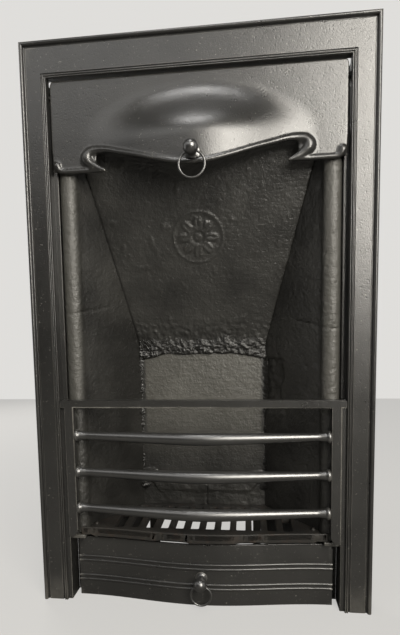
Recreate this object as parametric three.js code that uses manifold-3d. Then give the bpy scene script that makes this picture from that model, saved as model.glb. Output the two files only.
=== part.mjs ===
// Cast-iron bedroom fireplace insert: front plate, tilting hood, fire front with three bars,
// lift-out grate, pull-off ash cover and firebricks. Millimetres, +Z up, +X to the right, +Y into the wall.
// While the pieces are made, Y is 0 on the flat band of the front plate; the whole is centred at the end.
import * as THREE from 'three';
import { mergeVertices } from 'three/addons/utils/BufferGeometryUtils.js';
import Module from 'manifold-3d';

const wasm = await Module();
wasm.setup();

// Front plate
const plateWidth = 580;
const plateHeight = 965;
const sideBand = 44.5;
const topBand = 60;
const plateThickness = 7;
const flangeDepth = 42;
const flangeThickness = 5;
const lipHeight = 4;
const lipWidth = 7;
const coveWidth = 3.5;
const grooveWidth = 3;
const grooveDepth = 1.6;
const beadWidth = 3;
const beadHeight = 2.4;
const openingDepth = 11;
const stripWidth = 7.5;
const stripHeight = 355;
const stripSetback = 3;
const upperStripDrop = 44.6;
const upperStripRecess = 5;
const pinWebDepth = 13.5;
const pinWebRise = 11;
const ledgeWidth = 26;
const ledgeDepth = 17;
const ledgeThickness = 6.5;
const wallEarSize = 24;
const wallEarHole = 3.5;

// Running and seating gaps, and how far every cut runs past the face that it starts from
const seatGap = 0.3;
const pinGap = 0.3;
const brickSideGap = 0.4;
const overrun = 1;

// Hood
const hoodTopGap = 2.4;
const hoodSideGap = 3.5;
const hoodSetback = 6;
const hoodWall = 5;
const hoodDrop = 154.1;
const hoodEdgeLift = 8.5;
const domeForward = 44;
const domeHalfWidth = 200;
const domeBaseLift = 41.5;
const domeRise = 100;
const hoodCornerRadius = 12;
const rimSpan = 163;
const rimRise = 39.5;
const rimRadius = 4;
const loopEdgeWidth = 4;
const trunnionDrop = 22.6;
const trunnionRadius = 4.5;
const trunnionLength = 26;
const trunnionBehindPlate = 9;
const earWidth = 13;
const earHeight = 18;

// Whiplash rim of the hood, right half. Each row is the distance from the middle as a share of the rim's
// span, the height above the rim's lowest point as a share of its rise, and the radius as a share of the
// bead's.
const rimShares = [
  [0, 0, 1], [0.17, 0.06, 1], [0.37, 0.28, 1], [0.55, 0.53, 1], [0.74, 0.77, 1.07], [0.89, 0.95, 1.2],
  [1, 1, 1.45],
];
const loopShares = [
  [1, 1, 1.45], [1.085, 0.925, 2.05], [1.117, 0.67, 2.45], [1.05, 0.38, 1.75], [0.93, 0.15, 0.7],
];

// Its straight edge and end curl: the distance as a share of the way from the loop's tip to the side of the
// hood, the height above the edge as a share of the bead's radius, and the radius as a share of the bead's.
const edgeShares = [[0, -0.62, 0.7], [0.18, -0.25, 1], [0.43, 0, 1.07], [0.8, 0.12, 1.07]];
const curlShares = [[0.8, 0.12, 1.07], [0.88, 1, 1.35], [0.917, 2.6, 1.65]];

// Hood hooks and their screws
const hookWidth = 15;
const hookWall = 3.5;
const hookFootHeight = 28;
const hookFootThickness = 5;
const screwRadius = 2.4;
const screwHeadRadius = 5;
const screwHeadHeight = 3.5;
const screwBlindDepth = 4.5;

// Knobs with an eye and a drop ring
const knobFlangeThickness = 3;
const knobNeckRadius = 4.5;
const knobBallRadius = 11.6;
const knobBallReach = 27;
const knobEyeReach = 14;
const knobEyeRadius = 7.5;
const knobEyeWidth = 9;
const knobShankRadius = 3;
const ringWireRadius = 1.9;
const nutRadius = 6.2;
const nutThickness = 5;
const hoodKnobLift = 11.6;
const hoodKnobFlange = 12;
const hoodEyeDrop = 0.4;
const hoodRingRadius = 20.1;
const rimSaddleRoom = 1.4;
const ashKnobHeight = 52.5;
const ashKnobFlange = 10.5;
const ashEyeDrop = 8.7;
const ashRingRadius = 17.8;

// Fire front and bars
const railHeight = 12.6;
const railDepth = 16;
const railSideGap = 1.2;
const frontProud = 4;
const stileWidth = 16;
const stileDepth = 12;
const stileSideGap = 1;
const stileFootGap = 2.3;
const stileFootRadius = 13;
const railCornerRadius = 3;
const pegRadius = 2.2;
const pegLength = 12;
const barNames = ['fire_bar_top', 'fire_bar_middle', 'fire_bar_bottom'];
const barDrop = 50;
const barSpacing = 65.7;
const barEndRadius = 7;
const barMiddleRadius = 10;
const barBow = 24;
const collarRadius = 10.5;
const collarLength = 8;
const collarTaper = 8;
const spigotRadius = 4;

// Grate
const lipBottom = 120;
const lipHeightOverPlate = 1.5;
const lipThickness = 6;
const grateRise = 13;
const grateThickness = 10;
const grateSideGap = 1.5;
const grateFrontSetback = 10;
const grateBow = 20;
const slotCount = 12;
const slotPitch = 27.7;
const slotWidth = 16.5;
const slotFront = 20;
const slotMargin = 6;
const studRadius = 4;
const studInset = 23.5;
const studSetback = 31;

// Ash cover
const ashSideGap = 10;
const ashTopGap = 1.2;
const ashThickness = 5;
const ashBow = 21;
const ashSetback = 21;
const ashWingDepth = 21.2;
const ashCornerRadius = 8;
const upperReeds = 71;
const lowerReeds = 34.5;
const reedSpacing = 8;
const reedWidth = 5;
const reedProud = 2.4;

// Bricks
const brickThickness = 32;
const backFront = 150;
const brickNoseRadius = 16;
const cheekTopDrop = 102.6;
const cheekRearWidth = 36;
const cheekOuterStraight = 14;
const cheekSplay = 82.6;
const backOverlap = 25;
const brickShift = -6;
const backTop = 441;
const cementThickness = 5.4;
const cementReach = 5;
const cementWave = 2.2;
const slabTopDrop = 107.6;
const slabThickness = 30;

// Rear bearer
const bearerThickness = 10;
const bearerReach = 12;
const bearerInset = 9;
const bearerLegWidth = 15;

// Straps round the bricks
const strapHeight = 30;
const strapThickness = 4;
const strapScrewSetback = 28;
const lowerStrapDrop = 55;
const upperStrapDrop = 262.6;
const strapBendSetback = 48;
const strapCornerGap = 7;

// Points closer than this are one point
const weldDistance = 1e-4;

// Counts of facets
const ROUND = 16;
const BEAD_SIDES = 8;
const BAR_SIDES = 10;
const DOME_COLUMNS = 32;
const DOME_ROWS = 9;
const BOW_STEPS = 20;
const RING_STEPS = 30;

// Across: half widths that follow from the sizes
const halfPlate = plateWidth / 2;
const openingHalf = halfPlate - sideBand;
const stripInner = openingHalf - stripWidth;
const stripOuter = openingHalf + beadWidth;
const hoodHalf = openingHalf - hoodSideGap;
const railHalf = openingHalf - railSideGap;
const pegCentre = (stripInner + openingHalf) / 2;
const stileOuter = stripInner - stileSideGap;
const stileInner = stileOuter - stileWidth;
const grateHalfWidth = stileInner - grateSideGap;
const studHalfSpacing = grateHalfWidth - studInset;
const ashHalfWidth = stripInner - ashSideGap;
const brickOuter = stripInner - brickSideGap;
const noseCentre = brickOuter - brickNoseRadius;
const noseInner = noseCentre - brickNoseRadius;
const backHalfWidth = noseInner - cheekSplay;
const bearerHalfWidth = backHalfWidth - bearerInset;
const loopHalfWidth = rimSpan + loopEdgeWidth / 2;

// Back from the front of the plate
const hoodBack = hoodSetback + hoodWall;
const trunnionSetback = plateThickness + trunnionBehindPlate;
const stileMiddle = stileDepth / 2 - frontProud;
const pegSetback = stripSetback + 2 * pegRadius;
const brickFront = Math.max(hoodBack, stileMiddle + collarRadius, railDepth - frontProud) + brickSideGap;
const upperStripSetback = brickFront + upperStripRecess;
const noseSetback = brickFront + brickNoseRadius;
const cheekRear = backFront - seatGap;
const backRear = backFront + brickThickness;
const bearerFront = backFront - bearerReach;
const slabTopFront = noseSetback + overrun;
const slotRear = bearerFront - slotMargin;

// Up from the hearth
const openingTop = plateHeight - topBand;
const hoodTop = openingTop - hoodTopGap;
const hoodRimHeight = hoodTop - hoodDrop;
const hoodEdgeHeight = hoodRimHeight + hoodEdgeLift;
const domeBaseHeight = hoodRimHeight + domeBaseLift;
const trunnionHeight = hoodTop - trunnionDrop;
const hoodKnobHeight = hoodRimHeight + hoodKnobLift;
const upperStripHeight = hoodTop - upperStripDrop;
const cheekHeight = hoodTop - cheekTopDrop;
const slabBottom = backTop + seatGap + cementThickness + seatGap;
const slabTop = hoodTop - slabTopDrop;
const slabLean = Math.atan2(backFront - slabTopFront, slabTop - slabBottom);
const slabDeep = slabThickness / Math.cos(slabLean);
const railBottom = stripHeight + seatGap;
const railTop = railBottom + railHeight;
const barHeights = barNames.map((_, i) => railBottom - barDrop - i * barSpacing);
const ledgeTop = lipBottom - seatGap;
const stileFootHeight = ledgeTop + stileFootGap;
const grateTop = lipBottom + grateRise;
const lipTop = grateTop + lipHeightOverPlate;
const ashHeight = ledgeTop - ledgeThickness - ashTopGap;
const reedHeights = [upperReeds, lowerReeds].flatMap((z) => [z + reedSpacing / 2, z - reedSpacing / 2]);
const bearerTop = grateTop - grateThickness - seatGap;
const lowerStrapLevel = stripHeight - lowerStrapDrop;
const upperStrapLevel = hoodTop - upperStrapDrop;

const iron = { color: 0x1d1d1c, roughness: 0.5, metalness: 0.3 };
const ironPolished = { color: 0x3a3835, roughness: 0.3, metalness: 0.85 };
const ironRough = { color: 0x24221f, roughness: 0.8, metalness: 0.3 };
const brick = { color: 0x2c2b27, roughness: 0.85, metalness: 0 };
const cement = { color: 0x35332e, roughness: 0.95, metalness: 0 };

// Turns a closed three.js geometry into a solid that can be joined and cut.
function solid(geometry) {
  const bare = geometry.index ? geometry.toNonIndexed() : geometry.clone();
  bare.deleteAttribute('normal');
  bare.deleteAttribute('uv');
  const merged = mergeVertices(bare, weldDistance);
  const points = merged.attributes.position;
  const triVerts = new Uint32Array(merged.index.array);
  if (signedVolume(points, triVerts) < 0) triVerts.reverse();
  const mesh = new wasm.Mesh({ numProp: 3, vertProperties: new Float32Array(points.array), triVerts });
  mesh.merge();
  return new wasm.Manifold(mesh);
}

// Volume inside a closed skin: below zero where the faces point inwards.
function signedVolume(points, triVerts) {
  const [a, b, c] = [new THREE.Vector3(), new THREE.Vector3(), new THREE.Vector3()];
  let sum = 0;
  for (let i = 0; i < triVerts.length; i += 3) {
    a.fromBufferAttribute(points, triVerts[i]);
    b.fromBufferAttribute(points, triVerts[i + 1]);
    c.fromBufferAttribute(points, triVerts[i + 2]);
    sum += a.dot(b.cross(c));
  }
  return sum;
}

// Turns a solid back into a three.js geometry.
function geometryOf(shape) {
  const mesh = shape.getMesh();
  const geometry = new THREE.BufferGeometry();
  geometry.setAttribute('position', new THREE.BufferAttribute(new Float32Array(mesh.vertProperties), 3));
  geometry.setIndex(new THREE.BufferAttribute(new Uint32Array(mesh.triVerts), 1));
  const flat = geometry.toNonIndexed();
  flat.computeVertexNormals();
  return flat;
}

function join(...shapes) {
  return shapes.reduce((sum, shape) => sum.add(shape));
}

function cut(shape, ...tools) {
  return tools.reduce((rest, tool) => rest.subtract(tool), shape);
}

// Box between two limits along each axis.
function block(x0, x1, y0, y1, z0, z1) {
  const geometry = new THREE.BoxGeometry(Math.abs(x1 - x0), Math.abs(y1 - y0), Math.abs(z1 - z0));
  geometry.translate((x0 + x1) / 2, (y0 + y1) / 2, (z0 + z1) / 2);
  return solid(geometry);
}

// Round bars along X, Y or Z between two stations; the other two coordinates are the axis.
function rodX(radius, x0, x1, y, z, sides = ROUND) {
  const geometry = new THREE.CylinderGeometry(radius, radius, Math.abs(x1 - x0), sides);
  geometry.rotateZ(Math.PI / 2);
  geometry.translate((x0 + x1) / 2, y, z);
  return solid(geometry);
}

function rodY(radius, y0, y1, x, z, sides = ROUND) {
  const geometry = new THREE.CylinderGeometry(radius, radius, Math.abs(y1 - y0), sides);
  geometry.translate(x, (y0 + y1) / 2, z);
  return solid(geometry);
}

function upright(radius, z0, z1, x, y, sides = ROUND) {
  const geometry = new THREE.CylinderGeometry(radius, radius, Math.abs(z1 - z0), sides);
  geometry.rotateX(Math.PI / 2);
  geometry.translate(x, y, (z0 + z1) / 2);
  return solid(geometry);
}

// Ball, used for studs.
function ball(radius, x, y, z) {
  const geometry = new THREE.SphereGeometry(radius, BEAD_SIDES, BEAD_SIDES - 2);
  geometry.translate(x, y, z);
  return solid(geometry);
}

// Flat outline in X and Y, raised from z0 to z1.
function slabUp(points, z0, z1) {
  const shape = new THREE.Shape(points.map(([x, y]) => new THREE.Vector2(x, y)));
  const geometry = new THREE.ExtrudeGeometry(shape, { depth: z1 - z0, bevelEnabled: false });
  geometry.translate(0, 0, z0);
  return solid(geometry);
}

// Skin through rings of equal length, with a flat cap on each end.
function loft(rings) {
  const count = rings[0].length;
  const corners = [];
  const push = (...points) => points.forEach((p) => corners.push(p.x, p.y, p.z));
  for (let i = 0; i + 1 < rings.length; i += 1) {
    for (let j = 0; j < count; j += 1) {
      const k = (j + 1) % count;
      push(rings[i][j], rings[i][k], rings[i + 1][k]);
      push(rings[i][j], rings[i + 1][k], rings[i + 1][j]);
    }
  }
  const last = rings.length - 1;
  const middle = (ring) => ring.reduce((sum, p) => sum.add(p), new THREE.Vector3()).divideScalar(count);
  const first = middle(rings[0]);
  const end = middle(rings[last]);
  for (let j = 0; j < count; j += 1) {
    const k = (j + 1) % count;
    push(first, rings[0][k], rings[0][j]);
    push(end, rings[last][j], rings[last][k]);
  }
  const geometry = new THREE.BufferGeometry();
  geometry.setAttribute('position', new THREE.BufferAttribute(new Float32Array(corners), 3));
  return solid(geometry);
}

// Round bead of changing radius through stations of place and radius, rounded off at both ends.
function bead(stations, sides = BEAD_SIDES) {
  const forward = new THREE.Vector3(0, 1, 0);
  const places = stations.map((s) => new THREE.Vector3(s.x, s.y, s.z));
  const tangentAt = (i) => {
    const before = places[Math.max(i - 1, 0)];
    const after = places[Math.min(i + 1, places.length - 1)];
    return after.clone().sub(before).normalize();
  };
  const ringAt = (place, tangent, radius) => {
    const side = tangent.clone().cross(forward).normalize();
    const up = side.clone().cross(tangent);
    return Array.from({ length: sides }, (_, k) => {
      const turn = (2 * Math.PI * k) / sides;
      const arm = side.clone().multiplyScalar(Math.cos(turn)).addScaledVector(up, Math.sin(turn));
      return place.clone().addScaledVector(arm, radius);
    });
  };
  const rings = [];
  const last = stations.length - 1;
  const endShare = 0.6;
  rings.push(ringAt(places[0].clone().addScaledVector(tangentAt(0), -stations[0].radius * endShare),
    tangentAt(0), stations[0].radius * endShare));
  stations.forEach((s, i) => rings.push(ringAt(places[i], tangentAt(i), s.radius)));
  rings.push(ringAt(places[last].clone().addScaledVector(tangentAt(last), stations[last].radius * endShare),
    tangentAt(last), stations[last].radius * endShare));
  return loft(rings);
}

// Turned shape about an axis along -Y: profile of [radius, reach] from the axis back to the axis.
function turned(profile, x, y, z, sides = ROUND) {
  const points = profile.map(([radius, reach]) => new THREE.Vector2(radius, reach));
  const geometry = new THREE.LatheGeometry(points, sides);
  geometry.rotateZ(Math.PI);
  geometry.translate(x, y, z);
  return solid(geometry);
}

// Removes a corner in the X-Z plane and leaves it round; sx and sz point from the piece to the corner.
function cornerCutter(x, z, radius, sx, sz, y0, y1) {
  const centreX = x - sx * radius;
  const centreZ = z - sz * radius;
  const steps = 5;
  const arc = Array.from({ length: steps + 1 }, (_, k) => {
    const turn = (Math.PI / 2) * (k / steps);
    return [centreX + sx * radius * Math.cos(turn), centreZ + sz * radius * Math.sin(turn)];
  });
  const outline = [
    [x + sx * overrun, centreZ], ...arc, [centreX, z + sz * overrun],
    [x + sx * overrun, z + sz * overrun],
  ];
  const shape = new THREE.Shape(outline.map(([px, pz]) => new THREE.Vector2(px, pz)));
  const geometry = new THREE.ExtrudeGeometry(shape, { depth: y1 - y0, bevelEnabled: false });
  geometry.rotateX(Math.PI / 2);
  geometry.translate(0, y1, 0);
  return solid(geometry);
}

// Bows in plan: 1 in the middle and 0 at the ends, as a serpentine and as a soft V.
const serpentine = (share) => (1 + Math.cos(Math.PI * Math.min(Math.abs(share), 1))) / 2;
const vBowSoftShare = 0.35;
const softV = (share) => {
  const rise = (t) => Math.hypot(t, vBowSoftShare) - vBowSoftShare;
  return 1 - rise(Math.min(Math.abs(share), 1)) / rise(1);
};
const stepsAcross = (half, steps) =>
  Array.from({ length: steps + 1 }, (_, i) => -half + (2 * half * i) / steps);

// Front plate: a profile swept up one leg, across the top with mitred corners and down the other leg.
function frontFrame() {
  const mouldingWidth = 2 * beadWidth;
  const halfRound = (width, height, start, from) => {
    const steps = 4;
    return Array.from({ length: steps }, (_, k) => {
      const turn = (Math.PI * (k + (from === 'outer' ? 0 : 1))) / steps;
      const along = (width / 2) * (1 - Math.cos(turn));
      return { from, at: from === 'outer' ? start + along : start - along, y: -height * Math.sin(turn) };
    });
  };
  const outline = [
    { from: 'outer', at: 0, y: flangeDepth },
    ...halfRound(lipWidth, lipHeight, 0, 'outer'),
    { from: 'outer', at: lipWidth, y: 0 },
    { from: 'outer', at: lipWidth + coveWidth / 2, y: grooveDepth },
    { from: 'outer', at: lipWidth + coveWidth, y: 0 },
    { from: 'inner', at: mouldingWidth + grooveWidth, y: 0 },
    { from: 'inner', at: mouldingWidth + grooveWidth / 2, y: grooveDepth },
    { from: 'inner', at: mouldingWidth, y: 0 },
    ...halfRound(beadWidth, beadHeight, mouldingWidth, 'inner'),
    ...halfRound(beadWidth, beadHeight, beadWidth, 'inner'),
    { from: 'inner', at: 0, y: openingDepth },
    { from: 'inner', at: mouldingWidth, y: openingDepth },
    { from: 'inner', at: mouldingWidth, y: plateThickness },
    { from: 'outer', at: flangeThickness, y: plateThickness },
    { from: 'outer', at: flangeThickness, y: flangeDepth },
  ];
  const inward = (p, band) => (p.from === 'outer' ? p.at : band - p.at);
  const legX = (p) => halfPlate - inward(p, sideBand);
  const topZ = (p) => plateHeight - inward(p, topBand);
  const stations = [
    outline.map((p) => new THREE.Vector3(-legX(p), p.y, 0)),
    outline.map((p) => new THREE.Vector3(-legX(p), p.y, topZ(p))),
    outline.map((p) => new THREE.Vector3(legX(p), p.y, topZ(p))),
    outline.map((p) => new THREE.Vector3(legX(p), p.y, 0)),
  ];
  const corners = [];
  const push = (...points) => points.forEach((p) => corners.push(p.x, p.y, p.z));
  for (let i = 0; i + 1 < stations.length; i += 1) {
    outline.forEach((_, j) => {
      const k = (j + 1) % outline.length;
      push(stations[i][j], stations[i + 1][j], stations[i + 1][k]);
      push(stations[i][j], stations[i + 1][k], stations[i][k]);
    });
  }
  const flat = outline.map((p) => new THREE.Vector2(inward(p, sideBand), p.y));
  THREE.ShapeUtils.triangulateShape(flat, []).forEach(([a, b, c]) => {
    push(stations[0][a], stations[0][b], stations[0][c]);
    push(stations[3][a], stations[3][c], stations[3][b]);
  });
  const geometry = new THREE.BufferGeometry();
  geometry.setAttribute('position', new THREE.BufferAttribute(new Float32Array(corners), 3));
  let frame = solid(geometry);

  for (const side of [-1, 1]) {
    const domeStrip = stripWidth / 2;
    const inner = side * stripInner;
    const outer = side * stripOuter;
    const strip = block(inner, outer, stripSetback, flangeDepth, 0, stripHeight - domeStrip);
    const upperStrip = block(inner, outer, upperStripSetback, flangeDepth, stripHeight - stripWidth,
      upperStripHeight);
    const web = block(side * openingHalf, outer, openingDepth - overrun, upperStripSetback + overrun,
      stripHeight - stripWidth, upperStripHeight);
    const pinWeb = cut(
      block(side * openingHalf, outer, openingDepth - overrun, openingDepth + pinWebDepth,
        upperStripHeight - overrun, trunnionHeight + pinWebRise),
      block(side * (openingHalf - overrun), side * (stripOuter + overrun),
        trunnionSetback - trunnionRadius - pinGap, openingDepth + pinWebDepth + overrun,
        trunnionHeight - trunnionRadius - pinGap, trunnionHeight + trunnionRadius + pinGap));
    const stripCap = rodY(domeStrip, stripSetback, flangeDepth, side * (stripInner + domeStrip),
      stripHeight - domeStrip);
    const ledge = block(side * (stripInner - ledgeWidth), side * (stripInner + domeStrip),
      stripSetback, stripSetback + ledgeDepth, ledgeTop - ledgeThickness, ledgeTop);
    const ear = block(side * (halfPlate - flangeThickness / 2),
      side * (halfPlate - flangeThickness - wallEarSize), flangeDepth - flangeThickness, flangeDepth,
      plateHeight - flangeThickness - wallEarSize, plateHeight - flangeThickness / 2);
    const earHole = rodY(wallEarHole, flangeDepth - flangeThickness - overrun, flangeDepth + overrun,
      side * (halfPlate - flangeThickness - wallEarSize / 2),
      plateHeight - flangeThickness - wallEarSize / 2);
    frame = join(frame, strip, stripCap, upperStrip, web, pinWeb, ledge, ear);
    frame = cut(frame, earHole, pegHole(side), hookScrewHole(side), strapScrewHole(side, lowerStrapLevel),
      strapScrewHole(side, upperStrapLevel));
  }
  return frame;
}

function strapScrewHole(side, level) {
  return rodX(screwRadius + pinGap, side * (stripInner - overrun), side * (stripOuter + overrun),
    strapScrewSetback, level);
}

// Upright hole in the top of the inner flange for a peg of the fire front.
function pegHole(side) {
  return upright(pegRadius + pinGap, stripHeight - pegLength - pinGap, stripHeight + overrun,
    side * pegCentre, pegSetback);
}

const hookInner = openingHalf + 2 * beadWidth + seatGap;
const hookScrewLevel = trunnionHeight - knobNeckRadius - hookWall - hookFootHeight / 2;

function hookScrewHole(side) {
  return rodY(screwRadius + pinGap, plateThickness - screwBlindDepth, plateThickness + overrun,
    side * (hookInner + hookWidth / 2), hookScrewLevel);
}

const rimStation = ([across, up, thick]) => ({
  x: rimSpan * across, z: hoodRimHeight + rimRise * up, radius: rimRadius * thick,
});
const rimPath = rimShares.map(rimStation);
const loopPath = loopShares.map(rimStation);
const loopTip = loopPath[loopPath.length - 1].x;
const edgeStation = ([across, up, thick]) => ({
  x: loopTip + (hoodHalf - loopTip) * across, z: hoodEdgeHeight + rimRadius * up, radius: rimRadius * thick,
});
const edgePath = edgeShares.map(edgeStation);
const curlPath = curlShares.map(edgeStation);

// Depth of the hood's front face at a point of its front view.
function hoodFace(x, z) {
  const across = x / domeHalfWidth;
  const above = Math.max(z - domeBaseHeight, 0) / domeRise;
  return hoodSetback - domeForward * serpentine(Math.hypot(across, above));
}

// Lower edge of the hood's wall: along the rim inside the loops, along the straight edge outside.
function hoodLowerEdge(x) {
  const reach = Math.abs(x);
  if (reach >= loopHalfWidth) return hoodEdgeHeight;
  const after = Math.max(rimPath.findIndex((s) => s.x >= Math.min(reach, rimSpan)), 1);
  const a = rimPath[after - 1];
  const b = rimPath[after];
  return a.z + ((b.z - a.z) * (Math.min(reach, rimSpan) - a.x)) / (b.x - a.x);
}

function hoodUpperEdge(x) {
  const past = Math.max(Math.abs(x) - (hoodHalf - hoodCornerRadius), 0);
  return hoodTop - hoodCornerRadius + Math.sqrt(Math.max(hoodCornerRadius ** 2 - past ** 2, 0));
}

// Wall of the hood: a grid in front view, set to the dome's depth and given a back face.
function hoodWallSolid() {
  const even = stepsAcross(hoodHalf, DOME_COLUMNS);
  const edges = [loopHalfWidth - loopEdgeWidth, loopHalfWidth, hoodHalf - hoodCornerRadius / 4]
    .flatMap((x) => [-x, x]);
  const columns = [...even, ...edges].sort((a, b) => a - b)
    .filter((x, i, all) => i === 0 || x - all[i - 1] > beadWidth / 2);
  const vertex = (i, j, back) => {
    const x = columns[i];
    const low = hoodLowerEdge(x);
    const z = low + ((hoodUpperEdge(x) - low) * j) / DOME_ROWS;
    return new THREE.Vector3(x, hoodFace(x, z) + (back ? hoodWall : 0), z);
  };
  const corners = [];
  const quad = (a, b, c, d) => [a, b, c, a, c, d].forEach((p) => corners.push(p.x, p.y, p.z));
  const lastColumn = columns.length - 1;
  for (let i = 0; i < lastColumn; i += 1) {
    for (let j = 0; j < DOME_ROWS; j += 1) {
      quad(vertex(i, j, false), vertex(i + 1, j, false), vertex(i + 1, j + 1, false),
        vertex(i, j + 1, false));
      quad(vertex(i, j, true), vertex(i, j + 1, true), vertex(i + 1, j + 1, true), vertex(i + 1, j, true));
    }
    quad(vertex(i, 0, false), vertex(i, 0, true), vertex(i + 1, 0, true), vertex(i + 1, 0, false));
    quad(vertex(i, DOME_ROWS, false), vertex(i + 1, DOME_ROWS, false), vertex(i + 1, DOME_ROWS, true),
      vertex(i, DOME_ROWS, true));
  }
  for (let j = 0; j < DOME_ROWS; j += 1) {
    quad(vertex(0, j, false), vertex(0, j + 1, false), vertex(0, j + 1, true), vertex(0, j, true));
    quad(vertex(lastColumn, j, false), vertex(lastColumn, j, true), vertex(lastColumn, j + 1, true),
      vertex(lastColumn, j + 1, false));
  }
  const geometry = new THREE.BufferGeometry();
  geometry.setAttribute('position', new THREE.BufferAttribute(new Float32Array(corners), 3));
  return solid(geometry);
}

// Stations of a rim path on one side of the hood, set at the middle of the hood's wall.
function onHood(path, side) {
  return path.map((s) => ({ x: side * s.x, y: hoodFace(s.x, s.z) + hoodWall / 2 - beadHeight / 2, z: s.z,
    radius: s.radius }));
}

// Hood casting: domed wall, whiplash rim, ears and trunnions.
function hoodCanopy() {
  const left = onHood(rimPath, -1).reverse();
  const right = onHood(rimPath, 1).slice(1);
  let hood = join(hoodWallSolid(), bead([...left, ...right]));
  for (const side of [-1, 1]) {
    const loop = onHood(loopPath, side);
    for (let i = 0; i + 1 < loop.length; i += 1) hood = join(hood, bead([loop[i], loop[i + 1]]));
    hood = join(hood, bead(onHood(edgePath, side)), bead(onHood(curlPath, side)));
    const ear = block(side * (hoodHalf - overrun), side * (hoodHalf - overrun - earWidth),
      hoodBack - overrun, trunnionSetback + trunnionRadius + overrun,
      trunnionHeight - earHeight / 2, trunnionHeight + earHeight / 2);
    const trunnion = rodX(trunnionRadius, side * (hoodHalf - earWidth / 2),
      side * (hoodHalf - earWidth / 2 + trunnionLength), trunnionSetback, trunnionHeight);
    hood = join(hood, ear, trunnion);
  }
  const face = hoodFace(0, hoodKnobHeight);
  const shankHole = rodY(knobShankRadius + pinGap, face - overrun, face + hoodWall + overrun, 0,
    hoodKnobHeight);
  return cut(hood, shankHole);
}

// Hook behind the plate in which one trunnion hangs.
function hoodHook(side) {
  const back = plateThickness + seatGap;
  const slotHalf = trunnionRadius + pinGap;
  const x0 = side * hookInner;
  const x1 = side * (hookInner + hookWidth);
  const seatBottom = trunnionHeight - slotHalf - hookWall;
  const seatTop = trunnionHeight + slotHalf + hookWall;
  const seatBlock = block(x0, x1, back, trunnionSetback + slotHalf + hookWall, seatBottom, seatTop);
  const foot = block(x0, x1, back, back + hookFootThickness, seatBottom - hookFootHeight,
    seatBottom + overrun);
  const slot = block(side * (hookInner - overrun), side * (hookInner + hookWidth + overrun),
    trunnionSetback - slotHalf, trunnionSetback + slotHalf, trunnionHeight, seatTop + overrun);
  const seat = rodX(slotHalf, side * (hookInner - overrun), side * (hookInner + hookWidth + overrun),
    trunnionSetback, trunnionHeight);
  const hole = rodY(screwRadius + pinGap, back - overrun, back + hookFootThickness + overrun,
    side * (hookInner + hookWidth / 2), hookScrewLevel);
  return cut(join(seatBlock, foot), slot, seat, hole);
}

function hookScrew(side) {
  const face = plateThickness + seatGap + hookFootThickness + seatGap;
  const x = side * (hookInner + hookWidth / 2);
  const head = rodY(screwHeadRadius, face, face + screwHeadHeight, x, hookScrewLevel);
  const shank = rodY(screwRadius, plateThickness - screwBlindDepth + pinGap, face + overrun, x,
    hookScrewLevel);
  return join(head, shank);
}

// Knob: flange on the casting, neck, eye for the ring and a ball at the front. Its shank goes through
// the wall.
function knob(face, height, wall, flange, eyeDrop) {
  const turns = 8;
  const neckEnd = knobBallReach - Math.sqrt(knobBallRadius ** 2 - knobNeckRadius ** 2);
  const neckTurn = Math.asin(knobNeckRadius / knobBallRadius);
  const ballProfile = Array.from({ length: turns + 1 }, (_, k) => {
    const turn = neckTurn + ((Math.PI - neckTurn) * k) / turns;
    const radius = k === turns ? 0 : knobBallRadius * Math.sin(turn);
    return [radius, knobBallReach - knobBallRadius * Math.cos(turn)];
  });
  const profile = [
    [0, seatGap],
    [flange, seatGap],
    [flange, knobFlangeThickness / 2],
    [knobNeckRadius, knobFlangeThickness + seatGap],
    [knobNeckRadius, neckEnd],
    ...ballProfile.slice(1),
  ];
  const body = turned(profile, 0, face, height);
  const shank = rodY(knobShankRadius, face - knobFlangeThickness / 2, face + wall + nutThickness + seatGap,
    0, height);
  const eyeHeight = height - eyeDrop;
  const eye = rodX(knobEyeRadius, -knobEyeWidth / 2, knobEyeWidth / 2, face - knobEyeReach, eyeHeight);
  const hole = rodX(eyeHoleRadius, -knobEyeWidth, knobEyeWidth, face - knobEyeReach, eyeHeight);
  return cut(join(body, shank, eye), hole);
}

// The ring bends inside the eye, so the hole is wider than the wire by that bend and a running gap.
const ringBend = (radius) => radius - Math.sqrt(radius ** 2 - (knobEyeWidth / 2) ** 2);
const eyeHoleRadius = ringWireRadius + ringBend(ashRingRadius) + pinGap + pinGap;

function dropRing(face, eyeHeight, radius) {
  const geometry = new THREE.TorusGeometry(radius, ringWireRadius, BEAD_SIDES, RING_STEPS);
  geometry.rotateX(Math.PI / 2);
  geometry.translate(0, face - knobEyeReach, eyeHeight - radius);
  return solid(geometry);
}

function knobNut(face, height, wall) {
  const start = face + wall + seatGap;
  const flats = 6;
  const nut = rodY(nutRadius, start, start + nutThickness, 0, height, flats);
  return cut(nut, rodY(knobShankRadius + pinGap, start - overrun, start + nutThickness + overrun, 0, height));
}

// Fire front casting: rail, two stiles with rounded feet, and pegs that drop into the plate's inner flanges.
function fireFront() {
  const front = -frontProud;
  let casting = block(-railHalf, railHalf, front, front + railDepth, railBottom, railTop);
  for (const side of [-1, 1]) {
    const stile = block(side * stileInner, side * stileOuter, front, front + stileDepth,
      stileFootHeight, railBottom + overrun);
    const peg = upright(pegRadius, stripHeight - pegLength, railBottom + overrun, side * pegCentre,
      pegSetback);
    casting = join(casting, stile, peg);
    casting = cut(casting,
      cornerCutter(side * stileInner, stileFootHeight, stileFootRadius, -side, -1, front - overrun,
        front + stileDepth + overrun),
      cornerCutter(side * railHalf, railTop, railCornerRadius, side, 1, front - overrun,
        front + railDepth + overrun));
    for (const level of barHeights) {
      casting = cut(casting, rodX(spigotRadius + pinGap, side * (stileInner - overrun),
        side * (stileOuter + overrun), stileMiddle, level));
    }
  }
  return casting;
}

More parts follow.
